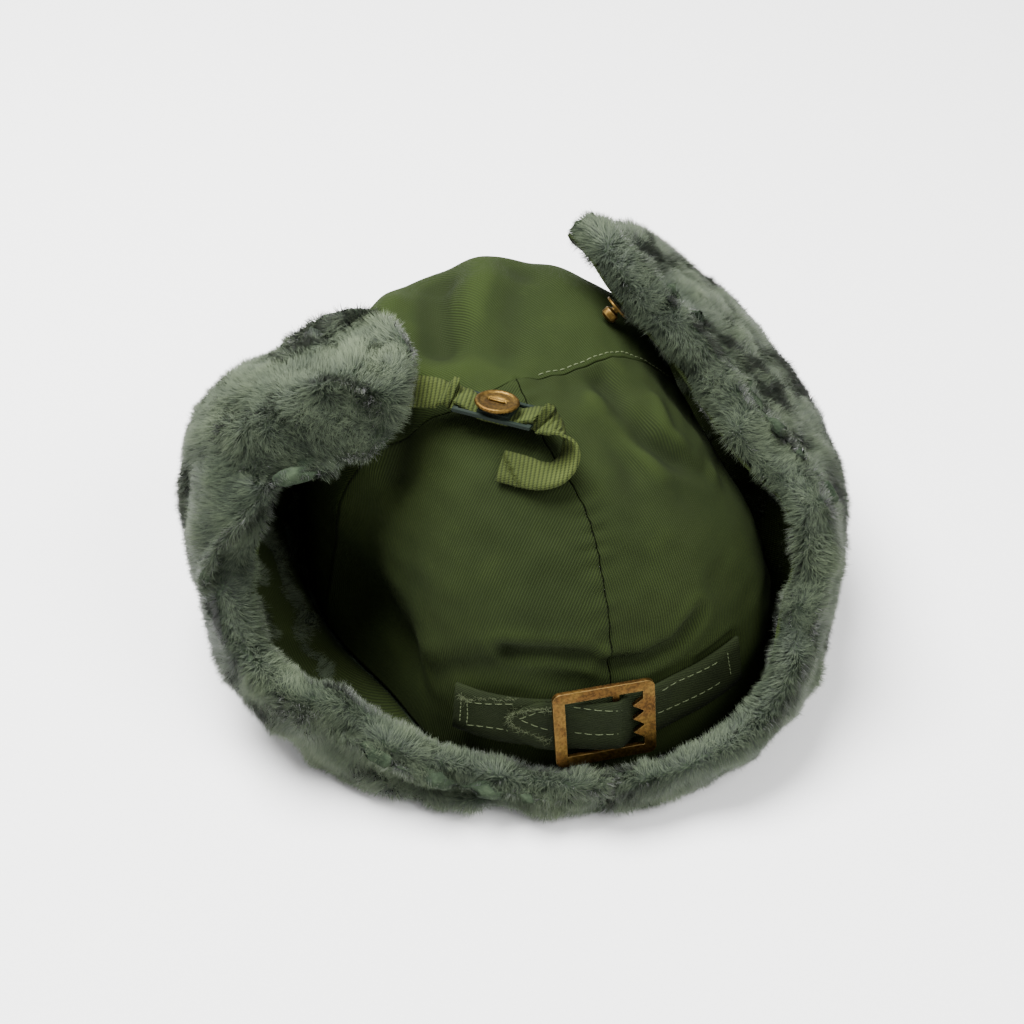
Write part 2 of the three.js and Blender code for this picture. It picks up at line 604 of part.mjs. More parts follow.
// A flat strap through stations that each hold a centre and a direction across it.
function strapAlong(stations, width, thickness, steps, widthShare = () => 1) {
  const centres = new THREE.CatmullRomCurve3(stations.map((station) => station.centre));
  const acrosses = new THREE.CatmullRomCurve3(stations.map((station) => station.across));
  const [top, bottom] = [[], []];
  for (let i = 0; i <= steps; i += 1) {
    const centre = centres.getPoint(i / steps);
    const along = centres.getTangent(i / steps);
    const across = acrosses.getPoint(i / steps);
    across.addScaledVector(along, -across.dot(along)).normalize();
    const facing = new THREE.Vector3().crossVectors(along, across).normalize();
    const half = (width / 2) * widthShare(i / steps);
    const side = (sign, lift) =>
      centre.clone().addScaledVector(across, sign * half).addScaledVector(facing, lift);
    top.push([side(-1, thickness / 2), side(1, thickness / 2)]);
    bottom.push([side(-1, -thickness / 2), side(1, -thickness / 2)]);
  }
  return wallBetween(top, bottom);
}

// A frame of axes on the crown: x round the crown, y up its slope, z outward.
function frameOnCrown(angle, share, lift) {
  const outward = crownNormal(angle, share);
  const upSlope = crownForm(angle, share - 0.02).sub(crownForm(angle, share + 0.02));
  upSlope.addScaledVector(outward, -upSlope.dot(outward)).normalize();
  const round = new THREE.Vector3().crossVectors(upSlope, outward);
  const frame = new THREE.Matrix4().makeBasis(round, upSlope, outward);
  return frame.setPosition(crownForm(angle, share).addScaledVector(outward, lift));
}

function strapOnCrown(angle, share, lift) {
  const low = crownForm(angle, share + 0.03);
  const across = crownForm(angle, share - 0.03).sub(low).normalize();
  return { centre: crownForm(angle, share).addScaledVector(crownNormal(angle, share), lift), across };
}

const buckleFrame = frameOnCrown(buckleAngle, strapShare, buckleLift);

function strapInBuckle(x, z) {
  const across = new THREE.Vector3(0, 1, 0).transformDirection(buckleFrame);
  return { centre: new THREE.Vector3(x, 0, z).applyMatrix4(buckleFrame), across };
}

// A toothed buckle frame with its centre bar, cut as one plate.
function buckle() {
  const outline = new THREE.Shape();
  const [x, y, r] = [buckleWidth / 2, buckleHeight / 2, buckleCorner];
  outline.moveTo(-x + r, -y);
  outline.lineTo(x - r, -y);
  outline.absarc(x - r, -y + r, r, -Math.PI / 2, 0);
  outline.lineTo(x, y - r);
  outline.absarc(x - r, y - r, r, 0, Math.PI / 2);
  outline.lineTo(-x + r, y);
  outline.absarc(-x + r, y - r, r, Math.PI / 2, Math.PI);
  outline.lineTo(-x, -y + r);
  outline.absarc(-x + r, -y + r, r, Math.PI, Math.PI * 1.5);
  const [inX, inY] = [x - buckleBar, y - buckleBar];
  const barLeft = centreBarOffset - centreBarWidth / 2;
  const barRight = centreBarOffset + centreBarWidth / 2;
  const leftHole = new THREE.Shape();
  leftHole.moveTo(-inX, -inY);
  leftHole.lineTo(barLeft, -inY);
  leftHole.lineTo(barLeft, inY);
  leftHole.lineTo(-inX, inY);
  const rightHole = new THREE.Shape();
  rightHole.moveTo(barRight, -inY);
  rightHole.lineTo(barRight, inY);
  rightHole.lineTo(inX, inY);
  const pitch = (2 * inY) / (toothCount + 1);
  for (let i = toothCount; i > 0; i -= 1) {
    const middle = -inY + i * pitch;
    rightHole.lineTo(inX, middle + pitch * 0.45);
    rightHole.lineTo(inX - toothLength, middle);
    rightHole.lineTo(inX, middle - pitch * 0.45);
  }
  rightHole.lineTo(inX, -inY);
  const plate = plateFrom(outline, buckleThickness);
  const holes = [leftHole, rightHole].map((hole) => plateFrom(hole, 2 * buckleThickness));
  return geometryFrom(plate.subtract(holes[0]).subtract(holes[1])).applyMatrix4(buckleFrame);
}

// The free strap runs under the right bar and its teeth, over the centre bar and
// under the left bar, and its pointed end lies on the fixed strap.
function backStrapRight() {
  const clear = buckleThickness / 2 + pieceGap + strapThickness * 0.7;
  const inner = buckleWidth / 2 - buckleBar;
  const onTab = strapLift + strapThickness + pieceGap;
  const stations = [
    ...[36.5, 31, 25, 19].map((angle) => strapOnCrown(angle, strapShare, strapLift)),
    strapInBuckle(buckleWidth / 2 - buckleBar / 2, -clear * 1.05),
    strapInBuckle(inner - toothLength, -clear * 1.08),
    strapInBuckle(centreBarOffset + centreBarWidth / 2, clear * 1.08),
    strapInBuckle(centreBarOffset - centreBarWidth / 2, clear * 1.12),
    strapInBuckle(-inner * 0.25, clear * 0.5),
    strapInBuckle(-inner * 0.8, -clear * 0.85),
    strapInBuckle(-buckleWidth / 2 + buckleBar / 2, -clear),
    strapOnCrown(-11.5, strapShare, onTab),
    strapOnCrown(-15, strapShare, onTab),
    strapOnCrown(-18.4, strapShare, onTab),
  ];
  const narrowing = (share) => Math.min(1, mix(0.4, 1, (1 - share) / 0.14));
  return strapAlong(stations, strapWidth, strapThickness, 39, narrowing);
}

// The fixed strap runs from its stitched end to the buckle's centre bar.
function backStrapLeft() {
  const angles = [-31.5, -26, -20, -14, -8.5, -3, 4.6];
  const stations = angles.map((angle) => strapOnCrown(angle, strapShare, strapLift));
  return strapAlong(stations, strapWidth, strapThickness, 14);
}

// The slide's frame: x along it, y across it, z out of its face.
const slideFrame = new THREE.Matrix4()
  .makeRotationZ(radians(slideHeading))
  .multiply(new THREE.Matrix4().makeRotationX(radians(-slideTilt)))
  .setPosition(crownPoint(slideAngle, slideShare, slideLift));

const slideWidth = tieWidth + 4 * pieceGap + 2 * slideRail;
const slotMiddle = slideLength / 2 - slideRail - slideSlot / 2;

// A plate with a slot at each end and a raised seat for the button in its middle.
function tieSlide() {
  let plate = solidFrom(new THREE.BoxGeometry(slideLength, slideWidth, slideThickness));
  for (const side of [-1, 1]) {
    const slot = new THREE.BoxGeometry(slideSlot, slideWidth - 2 * slideRail, 2 * slideThickness);
    plate = plate.subtract(solidFrom(slot.translate(side * slotMiddle, 0, 0)));
  }
  const seatLength = 2 * (slotMiddle - slideSlot / 2);
  const seat = new THREE.BoxGeometry(seatLength, slideWidth * 0.8, seatThickness + slideThickness);
  seat.translate(0, 0, seatThickness / 2);
  return geometryFrom(plate.add(solidFrom(seat))).applyMatrix4(slideFrame);
}

// A dished disc on a neck, with a slot each side of the bar that the thread goes over.
function tieButton() {
  const [r, neck] = [buttonDiameter / 2, buttonNeckDiameter / 2];
  const profile = [
    [0, 0], [neck, 0], [neck, buttonNeck], [r * 0.8, buttonNeck], [r, buttonNeck + buttonThickness * 0.5],
    [r * 0.92, buttonNeck + buttonThickness], [r * 0.7, buttonNeck + buttonThickness * 0.86],
    [0, buttonNeck + buttonThickness * 0.8],
  ];
  const turned = new THREE.LatheGeometry(profile.map(([x, y]) => new THREE.Vector2(x, y)), 24);
  turned.rotateX(Math.PI / 2);
  let solid = solidFrom(turned);
  for (const side of [-1, 1]) {
    const pocket = new THREE.BoxGeometry(buttonSlotLength, buttonSlotWidth * 0.32, buttonThickness);
    pocket.translate(0, side * buttonSlotWidth * 0.34, buttonNeck + buttonThickness);
    solid = solid.subtract(solidFrom(pocket));
  }
  const geometry = geometryFrom(solid);
  geometry.translate(0, -buttonSet, slideThickness / 2 + seatThickness + pieceGap);
  return geometry.applyMatrix4(slideFrame);
}

// The tie strap: out of the left ear flap, through the slide, round and back to its end.
function tieStrap() {
  const onCrown = (row) => {
    const next = crownForm(row.angle, row.share + 0.02);
    const across = crownForm(row.angle, Math.max(row.share - 0.02, 0)).sub(next).normalize();
    const outward = crownNormal(row.angle, row.share);
    const lean = radians(row.lean);
    const leaning = across.multiplyScalar(Math.cos(lean)).addScaledVector(outward, Math.sin(lean));
    return { centre: crownPoint(row.angle, row.share, row.height * tieWidth), across: leaning };
  };
  const underFlap = (past) => {
    const before = flapPoint(left, tieStation - 0.01, 1);
    const across = flapPoint(left, tieStation + 0.01, 1).sub(before).normalize();
    const outward = flapOutward(left, tieStation, 1);
    const centre = flapPoint(left, tieStation, 1).addScaledVector(outward, -tieUnder);
    centre.addScaledVector(flapUpward(left, tieStation, 1), past);
    return { centre, across };
  };
  const under = slideThickness / 2 + pieceGap + tieThickness / 2;
  const inSlide = (x, z) => ({
    centre: new THREE.Vector3(x, 0, z).applyMatrix4(slideFrame),
    across: new THREE.Vector3(0, 1, 0).transformDirection(slideFrame),
  });
  const [end, slotIn] = [slideLength / 2, slotMiddle - slideSlot / 2];
  const stations = [
    underFlap(0),
    underFlap(4),
    underFlap(0.7 * furDepth),
    ...tieBefore.map(onCrown),
    inSlide(-end - tieThickness, under * 1.15),
    inSlide(-end + slideRail, under * 1.05),
    inSlide(-slotIn, -under * 1.05),
    inSlide(0, -under * 1.15),
    inSlide(slotIn, -under * 1.05),
    inSlide(end - slideRail, under * 1.05),
    inSlide(end + tieThickness, under * 1.15),
    ...tieAfter.map(onCrown),
  ];
  return strapAlong(stations, tieWidth, tieThickness, 57);
}

// A washer, a neck and a knob on the inside of the right ear flap.
function flapStud(half, station, rise) {
  const [r, knob] = [studDiameter / 2, studKnobDiameter / 2];
  const knobStart = studThickness + studNeck * 0.5;
  const knobEnd = knobStart + studKnobLength;
  const profile = [
    [0, 0], [r, 0], [r, studThickness], [knob * 0.5, studThickness], [knob * 0.5, knobStart],
    [knob, knobStart + studKnobLength * 0.2], [knob, knobEnd - studKnobLength * 0.25],
    [knob * 0.7, knobEnd], [0, knobEnd],
  ];
  const stud = new THREE.LatheGeometry(profile.map(([x, y]) => new THREE.Vector2(x, y)), 18);
  const inward = flapOutward(half, station, rise).negate();
  const turn = new THREE.Quaternion().setFromUnitVectors(new THREE.Vector3(0, 1, 0), inward);
  const place = flapPoint(half, station, rise).addScaledVector(inward, pieceGap * 0.6);
  stud.applyMatrix4(new THREE.Matrix4().compose(place, turn, new THREE.Vector3(1, 1, 1)));
  return geometryFrom(solidFrom(stud));
}

addPiece('crown_back_panel_right', crownPanel(seams.back, seams.right, 0), 'twill');
addPiece('crown_back_panel_left', crownPanel(seams.left, seams.back, 0), 'twill');
addPiece('crown_front_panel', crownPanel(seams.right, seams.left, 360), 'twill');
addPiece('flap_cloth_right', flapCloth(right), 'twill');
addPiece('flap_cloth_left', flapCloth(left), 'twill');
addPiece('flap_fur_right', flapFur(right), 'fur');
addPiece('flap_fur_left', flapFur(left), 'fur');
addPiece('front_flap_cloth', flapCloth(front), 'twill');
addPiece('front_flap_fur', flapFur(front), 'fur');
addPiece('back_strap_left', backStrapLeft(), 'twill');
addPiece('back_strap_right', backStrapRight(), 'twill');
addPiece('buckle', buckle(), 'brass');
addPiece('tie_strap', tieStrap(), 'webbing');
addPiece('tie_slide', tieSlide(), 'enamel');
addPiece('tie_button', tieButton(), 'brass');
addPiece('flap_stud', flapStud(right, 0.815, 0.91), 'brass');

// The middle of the whole cap's box is set over the origin.
const box = new THREE.Box3().setFromObject(cap);
const middle = box.getCenter(new THREE.Vector3());
for (const piece of cap.children) {
  piece.geometry.translate(-middle.x, -middle.y, -box.min.z);
}

export default cap;
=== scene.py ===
"""The looks of a winter field cap of green twill with its fur-lined flap turned up.
Metres, +Z up, the wearer's front along +Y and the wearer's right along +X."""
import math

import bmesh
import bpy
import numpy as np
from mathutils import Matrix, Vector
from mathutils.bvhtree import BVHTree
from mathutils.kdtree import KDTree


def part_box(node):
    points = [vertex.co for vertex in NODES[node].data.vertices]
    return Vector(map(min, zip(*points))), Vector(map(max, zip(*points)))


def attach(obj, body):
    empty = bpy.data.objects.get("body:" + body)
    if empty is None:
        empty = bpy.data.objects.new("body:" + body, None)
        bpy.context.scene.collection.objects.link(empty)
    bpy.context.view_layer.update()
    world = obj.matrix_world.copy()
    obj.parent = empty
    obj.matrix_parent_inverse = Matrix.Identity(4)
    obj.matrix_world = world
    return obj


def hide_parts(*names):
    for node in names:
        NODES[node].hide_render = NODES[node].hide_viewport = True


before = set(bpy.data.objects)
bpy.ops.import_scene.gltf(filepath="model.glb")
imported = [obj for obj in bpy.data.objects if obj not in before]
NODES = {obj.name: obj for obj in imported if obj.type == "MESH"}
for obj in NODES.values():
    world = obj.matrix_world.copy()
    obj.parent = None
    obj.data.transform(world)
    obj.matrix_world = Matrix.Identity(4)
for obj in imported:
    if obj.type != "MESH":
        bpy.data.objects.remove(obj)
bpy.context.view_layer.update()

MM = 0.001

# The cap stands a little off the middle of its box, because its flap isn't even.
seam_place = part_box("crown_back_panel_right")[0].x - 0.2 * MM
SET_OFF = Vector((seam_place, 2.9 * MM, 0))
CROWN_MIDDLE = SET_OFF + Vector((0, -5 * MM, 30 * MM))


# ---------------------------------------------------------------- camera

def make_camera():
    """The camera stands behind the cap, a little to the left, and looks down on it."""
    turn, height, distance = math.radians(-17), math.radians(44), 0.76
    back = Vector((
        math.sin(turn) * math.cos(height),
        -math.cos(turn) * math.cos(height),
        math.sin(height),
    ))
    data = bpy.data.cameras.new("camera")
    data.sensor_width = 36
    data.lens = 36 * 1900 / 1024
    data.clip_start = 0.01
    camera = bpy.data.objects.new("camera", data)
    bpy.context.scene.collection.objects.link(camera)
    camera.location = SET_OFF + Vector((0, 0, 50 * MM)) + back * distance
    camera.rotation_euler = back.to_track_quat("Z", "Y").to_euler()
    bpy.context.scene.camera = camera


make_camera()


# ---------------------------------------------------------------- shader maths

class Amount:
    """A number that a shader works out. Sums of amounts add Math nodes."""

    def __init__(self, finish, socket):
        self.finish = finish
        self.socket = socket

    def sum(self, operation, *others, first=None):
        values = [self if first is None else first, *others]
        return self.finish.node("ShaderNodeMath", {"operation": operation}, dict(enumerate(values)))

    def __add__(self, other):
        return self.sum("ADD", other)

    def __radd__(self, other):
        return self.sum("ADD", self, first=other)

    def __sub__(self, other):
        return self.sum("SUBTRACT", other)

    def __rsub__(self, other):
        return self.sum("SUBTRACT", self, first=other)

    def __mul__(self, other):
        return self.sum("MULTIPLY", other)

    def __rmul__(self, other):
        return self.sum("MULTIPLY", self, first=other)

    def __truediv__(self, other):
        return self.sum("DIVIDE", other)

    def __pow__(self, other):
        return self.sum("POWER", other)

    def fraction(self):
        return self.sum("FRACT")

    def size(self):
        return self.sum("ABSOLUTE")

    def wave(self):
        return self.sum("SINE")

    def least(self, other):
        return self.sum("MINIMUM", other)

    def most(self, other):
        return self.sum("MAXIMUM", other)

    def ease(self, low, high):
        """0 below low, 1 above high, smooth between."""
        return self.finish.node(
            "ShaderNodeMapRange",
            {"interpolation_type": "SMOOTHSTEP"},
            {"Value": self, "From Min": low, "From Max": high},
            "Result",
        )


class Finish:
    """A material under its maker's name, built from nodes."""

    def __init__(self, name):
        self.material = bpy.data.materials.new(name)
        self.material.use_nodes = True
        self.tree = self.material.node_tree
        self.tree.nodes.clear()
        self.output = self.tree.nodes.new("ShaderNodeOutputMaterial")
        self.shader = self.tree.nodes.new("ShaderNodeBsdfPrincipled")
        self.tree.links.new(self.shader.outputs["BSDF"], self.output.inputs["Surface"])

    def node(self, kind, settings=None, inputs=None, output=0):
        made = self.tree.nodes.new(kind)
        for name, value in (settings or {}).items():
            if name == "stops":
                self.set_stops(made.color_ramp, value)
            else:
                setattr(made, name, value)
        for name, value in (inputs or {}).items():
            if isinstance(value, Amount):
                self.tree.links.new(value.socket, made.inputs[name])
            else:
                made.inputs[name].default_value = value
        return Amount(self, made.outputs[output])

    def set_stops(self, ramp, stops):
        while len(ramp.elements) < len(stops):
            ramp.elements.new(0.5)
        for element, (place, colour) in zip(ramp.elements, stops):
            element.position = place
            element.color = (*colour, 1)

    def split(self, vector):
        made = self.node("ShaderNodeSeparateXYZ", {}, {0: vector})
        return [Amount(self, made.socket.node.outputs[i]) for i in range(3)]

    def noise(self, scale, detail=3.0, place=None, roughness=0.55):
        where = place or self.node("ShaderNodeTexCoord", output="Object")
        return self.node(
            "ShaderNodeTexNoise",
            {},
            {"Vector": where, "Scale": scale, "Detail": detail, "Roughness": roughness},
        )

    def mix(self, share, first, second, way="MIX"):
        made = self.tree.nodes.new("ShaderNodeMix")
        made.data_type = "RGBA"
        made.blend_type = way
        for name, value in ((0, share), (6, first), (7, second)):
            if isinstance(value, Amount):
                self.tree.links.new(value.socket, made.inputs[name])
            elif name == 0:
                made.inputs[name].default_value = value
            else:
                made.inputs[name].default_value = (*value, 1)
        return Amount(self, made.outputs[2])

    def bump(self, height, distance, strength=1.0):
        return self.node(
            "ShaderNodeBump", {}, {"Height": height, "Distance": distance, "Strength": strength}
        )

    def set(self, **sockets):
        for name, value in sockets.items():
            socket = self.shader.inputs[name.replace("_", " ").title().replace("Ior", "IOR")]
            if isinstance(value, Amount):
                self.tree.links.new(value.socket, socket)
            elif isinstance(value, tuple):
                socket.default_value = (*value, 1)
            else:
                socket.default_value = value
        return self.material


# ---------------------------------------------------------------- finishes

def twill(name, light, dark, pitch=0.92, slope=1.0, weave=1.0):
    """Cotton twill: slanting ribs across the cloth's own map, threads along them, wear and fading, with painted shade
    in creases and a painted highlight on ridges.
    """
    f = Finish(name)
    across, along, _ = f.split(f.node("ShaderNodeUVMap", {"uv_map": "cloth"}))
    drift = f.noise(90, 2.0)
    lay = math.hypot(1, slope)
    line = (across * slope + along) / (pitch * lay) + drift * 0.5
    rib = (line.fraction() - 0.5).size() * 2
    thread = (((across - along * slope) / (pitch * lay * 0.72) + rib * 0.5).fraction() - 0.5).size() * 2
    uneven = f.noise(1400, 2.0)
    weave_height = rib * 0.7 + thread * rib * 0.35 + uneven * 0.35
    fade = f.noise(14, 4.0)
    rub = f.noise(60, 5.0, roughness=0.7)
    shade = f.node("ShaderNodeAttribute", {"attribute_name": "crease"}, output="Fac")
    body = f.mix(fade.ease(0.3, 0.7), dark, light)
    ribbed = f.mix(rib.ease(0.0, 0.75), tuple(c * 0.52 for c in dark), body)
    worn = f.mix((rub.ease(0.5, 0.8) * rib) * 0.35, ribbed, tuple(min(1, c * 1.5) for c in light))
    # Painted shade darkens the cloth where the crease attribute marks a groove, and a painted highlight lightens it
    # where it marks a ridge.
    crease_painted_shade = f.mix((0.5 - shade).ease(0.02, 0.5) * 0.55, worn, tuple(c * 0.45 for c in dark))
    raised = f.mix((shade - 0.5).ease(0.05, 0.5) * 0.3, crease_painted_shade, tuple(min(1, c * 1.45) for c in light))
    f.set(
        base_color=raised,
        roughness=0.78 + uneven * 0.16,
        normal=f.bump(weave_height, 0.00022 * weave, 0.9),
        specular_ior_level=0.12,
    )
    return f.material


def webbing_finish():
    f = Finish("tie_webbing")
    across, along, _ = f.split(f.node("ShaderNodeUVMap", {"uv_map": "cloth"}))
    rib = ((across / 1.5).fraction() - 0.5).size() * 2
    pick = ((along / 0.85 + rib * 0.5).fraction() - 0.5).size() * 2
    fuzz = f.noise(900, 3.0)
    fade = f.noise(35, 4.0)
    body = f.mix(fade.ease(0.3, 0.7), (0.030, 0.040, 0.009), (0.055, 0.071, 0.017))
    ribbed = f.mix((rib * 0.6 + pick * 0.4).ease(0.05, 0.7), (0.010, 0.015, 0.005), body)
    f.set(
        base_color=ribbed,
        roughness=0.8 + fuzz * 0.15,
        normal=f.bump(rib * 0.6 + pick * 0.5 + fuzz * 0.3, 0.0003, 1.0),
        specular_ior_level=0.12,
    )
    return f.material


def thread_finish():
    f = Finish("sewing_thread")
    twist = f.noise(2600, 2.0)
    f.set(
        base_color=f.mix(twist.ease(0.3, 0.7), (0.040, 0.053, 0.021), (0.082, 0.102, 0.046)),
        roughness=0.62 + twist * 0.2,
        normal=f.bump(twist, 0.0001),
        specular_ior_level=0.35,
    )
    return f.material


def fur_backing():
    f = Finish("fur_backing")
    lock = f.noise(160, 4.0)
    fine = f.noise(900, 3.0)
    f.set(
        base_color=f.mix(lock.ease(0.3, 0.75), (0.010, 0.016, 0.009), (0.034, 0.048, 0.028)),
        roughness=0.9 + fine * 0.08,
        normal=f.bump(lock * 0.7 + fine * 0.4, 0.0014),
        specular_ior_level=0.1,
    )
    return f.material


def fur_hairs():
    """Each hair's map holds its own shade across and its length along."""
    f = Finish("fur_hairs")
    own, along, _ = f.split(f.node("ShaderNodeUVMap", {"uv_map": "OFBake"}))
    root = f.mix(own, (0.007, 0.011, 0.007), (0.019, 0.027, 0.017))
    tip = f.mix(own, (0.023, 0.034, 0.021), (0.102, 0.129, 0.072))
    f.set(
        base_color=f.mix((along * 0.95 + own * 0.1).ease(0.05, 1.0), root, tip),
        roughness=0.62 + own * 0.15,
        sheen_weight=0.15,
        sheen_roughness=0.4,
        specular_ior_level=0.22,
    )
    return f.material


def brass_finish(name, tarnish):
    f = Finish(name)
    patch = f.noise(95, 5.0, roughness=0.65)
    speck = f.noise(900, 3.0)
    edge = f.node("ShaderNodeAttribute", {"attribute_name": "worn_edge"}, output="Fac")
    clean = f.mix(speck.ease(0.35, 0.65), (0.078, 0.047, 0.012), (0.140, 0.086, 0.022))
    brown = f.mix(speck.ease(0.4, 0.6), (0.040, 0.021, 0.007), (0.085, 0.043, 0.012))
    body = f.mix((patch * 1.0 + speck * 0.15).ease(0.62 - tarnish, 0.85 - tarnish * 0.6), clean, brown)
    f.set(
        base_color=f.mix(edge * patch.ease(0.3, 0.6) * 0.7, body, (0.24, 0.165, 0.062)),
        metallic=1.0,
        roughness=0.30 + patch * 0.28 + speck * 0.1,
        normal=f.bump(speck * 0.5 + patch * 0.6, 0.00012),
    )
    return f.material


def enamel_finish():
    f = Finish("slide_enamel")
    patch = f.noise(140, 5.0, roughness=0.7)
    fine = f.noise(1200, 2.0)
    edge = f.node("ShaderNodeAttribute", {"attribute_name": "worn_edge"}, output="Fac")
    bare = (edge * patch.ease(0.5, 0.7) * 0.8 + patch.ease(0.66, 0.76) * 0.5).least(1.0)
    f.set(
        base_color=f.mix(bare, (0.007, 0.012, 0.0085), (0.13, 0.14, 0.125)),
        metallic=bare * 0.9,
        roughness=0.55 + fine * 0.2,
        specular_ior_level=0.12,
        normal=f.bump(patch * 0.5 + fine * 0.3, 0.0001),
    )
    return f.material


def floor_finish():
    f = Finish("floor_paper")
    grain = f.noise(600, 2.0)
    f.set(base_color=f.mix(grain.ease(0.3, 0.7), (0.95, 0.95, 0.945), (0.965, 0.965, 0.96)), roughness=0.9)
    return f.material


CROWN_LIGHT, CROWN_DARK = (0.0155, 0.0245, 0.0040), (0.0100, 0.0166, 0.0027)
finishes = {
    "back_right": twill("crown_twill_back_right", CROWN_LIGHT, CROWN_DARK, slope=1.3),
    "back_left": twill("crown_twill_back_left", CROWN_LIGHT, CROWN_DARK, slope=-0.62),
    "front": twill("crown_twill_front", (0.0175, 0.0285, 0.0046), (0.0118, 0.0198, 0.0032), slope=1.6),
    "flap": twill("flap_twill", (0.0190, 0.0290, 0.0056), (0.0130, 0.0205, 0.0040), slope=0.8),
    "strap": twill("strap_twill", (0.0105, 0.0160, 0.0038), (0.0070, 0.0110, 0.0026), pitch=0.85, slope=0.6),
    "webbing": webbing_finish(),
    "thread": thread_finish(),
    "backing": fur_backing(),
    "hairs": fur_hairs(),
    "buckle": brass_finish("buckle_brass", 0.26),
    "button": brass_finish("button_brass", 0.05),
    "enamel": enamel_finish(),
}


# ---------------------------------------------------------------- making pieces

def add_object(name, mesh, finish):
    piece = bpy.data.objects.new(name, mesh)
    bpy.context.scene.collection.objects.link(piece)
    mesh.materials.clear()
    mesh.materials.append(finishes[finish])
    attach(piece, "root")
    return piece


def points_of(mesh):
    points = np.empty(len(mesh.vertices) * 3)
    mesh.vertices.foreach_get("co", points)
    return points.reshape(-1, 3)


def set_points(mesh, points):
    mesh.vertices.foreach_set("co", points.ravel())
    mesh.update()


def normals_of(mesh):
    normals = np.empty(len(mesh.vertices) * 3)
    mesh.vertex_normals.foreach_get("vector", normals)
    return normals.reshape(-1, 3)


def refined(node, levels, hard=50):
    """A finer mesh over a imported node: its facets joined in fours, then subdivided round its hard edges."""
    work = bmesh.new()
    work.from_mesh(NODES[node].data)
    bmesh.ops.remove_doubles(work, verts=work.verts, dist=2e-6)
    bmesh.ops.join_triangles(
        work, faces=work.faces, angle_face_threshold=math.radians(42), angle_shape_threshold=math.radians(120)
    )
    crease = work.edges.layers.float.new("crease_edge")
    for edge in work.edges:
        if edge.is_manifold and edge.calc_face_angle(0) > math.radians(hard):
            edge[crease] = 1.0
    mesh = bpy.data.meshes.new(node + "_fine")
    work.to_mesh(mesh)
    work.free()
    carrier = bpy.data.objects.new(node + "_carrier", mesh)
    bpy.context.scene.collection.objects.link(carrier)
    smooth = carrier.modifiers.new("fine", "SUBSURF")
    smooth.levels = levels
    smooth.render_levels = levels
    bpy.context.view_layer.update()
    fine = bpy.data.meshes.new_from_object(carrier.evaluated_get(bpy.context.evaluated_depsgraph_get()))
    bpy.data.objects.remove(carrier)
    for layer in [a for a in fine.attributes if a.name == "crease_edge"]:
        fine.attributes.remove(layer)
    fine.shade_smooth()
    return fine


def away_from_line(points, line):
    """Each point's distance from a line of points."""
    line = np.array(line, float) * MM
    nearest = np.full(len(points), 1e9)
    for start, end in zip(line[:-1], line[1:]):
        along = end - start
        share = np.clip(((points - start) @ along) / (along @ along), 0, 1)
        nearest = np.minimum(nearest, np.linalg.norm(points - start - share[:, None] * along, axis=1))
    return nearest


def ripple(points, size, seed, count=24):
    """A smooth uneven height from -1 to 1 with features of about the given size."""
    chance = np.random.default_rng(seed)
    total = np.zeros(len(points))
    for _ in range(count):
        wave = chance.normal(size=3)
        wave *= (2 * math.pi / size) * chance.uniform(0.6, 1.4) / np.linalg.norm(wave)
        total += np.sin(points @ wave + chance.uniform(0, 2 * math.pi))
    return total / math.sqrt(count / 2) / 1.6


def set_attribute(mesh, name, values):
    layer = mesh.attributes.new(name, "FLOAT", "POINT")
    layer.data.foreach_set("value", values.astype(np.float32))


def corner_vertices(mesh):
    corners = np.empty(len(mesh.loops), np.int32)
    mesh.loops.foreach_get("vertex_index", corners)
    return corners


def map_cloth(mesh, forward):
    """The cloth's map in millimetres: unrolled round the piece's own middle."""
    points = points_of(mesh)
    middle = points.mean(0)
    out = (Vector(middle) - CROWN_MIDDLE).normalized()
    ahead = Vector(forward)
    ahead = np.array((ahead - out * ahead.dot(out)).normalized())
    aside = np.cross(ahead, np.array(out))
    ray = points - np.array(CROWN_MIDDLE)
    reach = np.linalg.norm(ray, axis=1)
    ray /= reach[:, None]
    turned = np.arccos(np.clip(ray @ np.array(out), -1, 1))
    flat = ray - (ray @ np.array(out))[:, None] * np.array(out)
    flat /= np.maximum(np.linalg.norm(flat, axis=1), 1e-9)[:, None]
    radius = turned * reach.mean() / MM
    both = np.stack([radius * (flat @ aside), radius * (flat @ ahead)], 1)
    layer = mesh.uv_layers.new(name="cloth")
    layer.data.foreach_set("uv", both[corner_vertices(mesh)].ravel().astype(np.float32))


def flat_size(mesh):
    """Half of a cloth wall's surface, which is its cloth's area."""
    return sum(face.area for face in mesh.polygons) / 2


# ---------------------------------------------------------------- crown

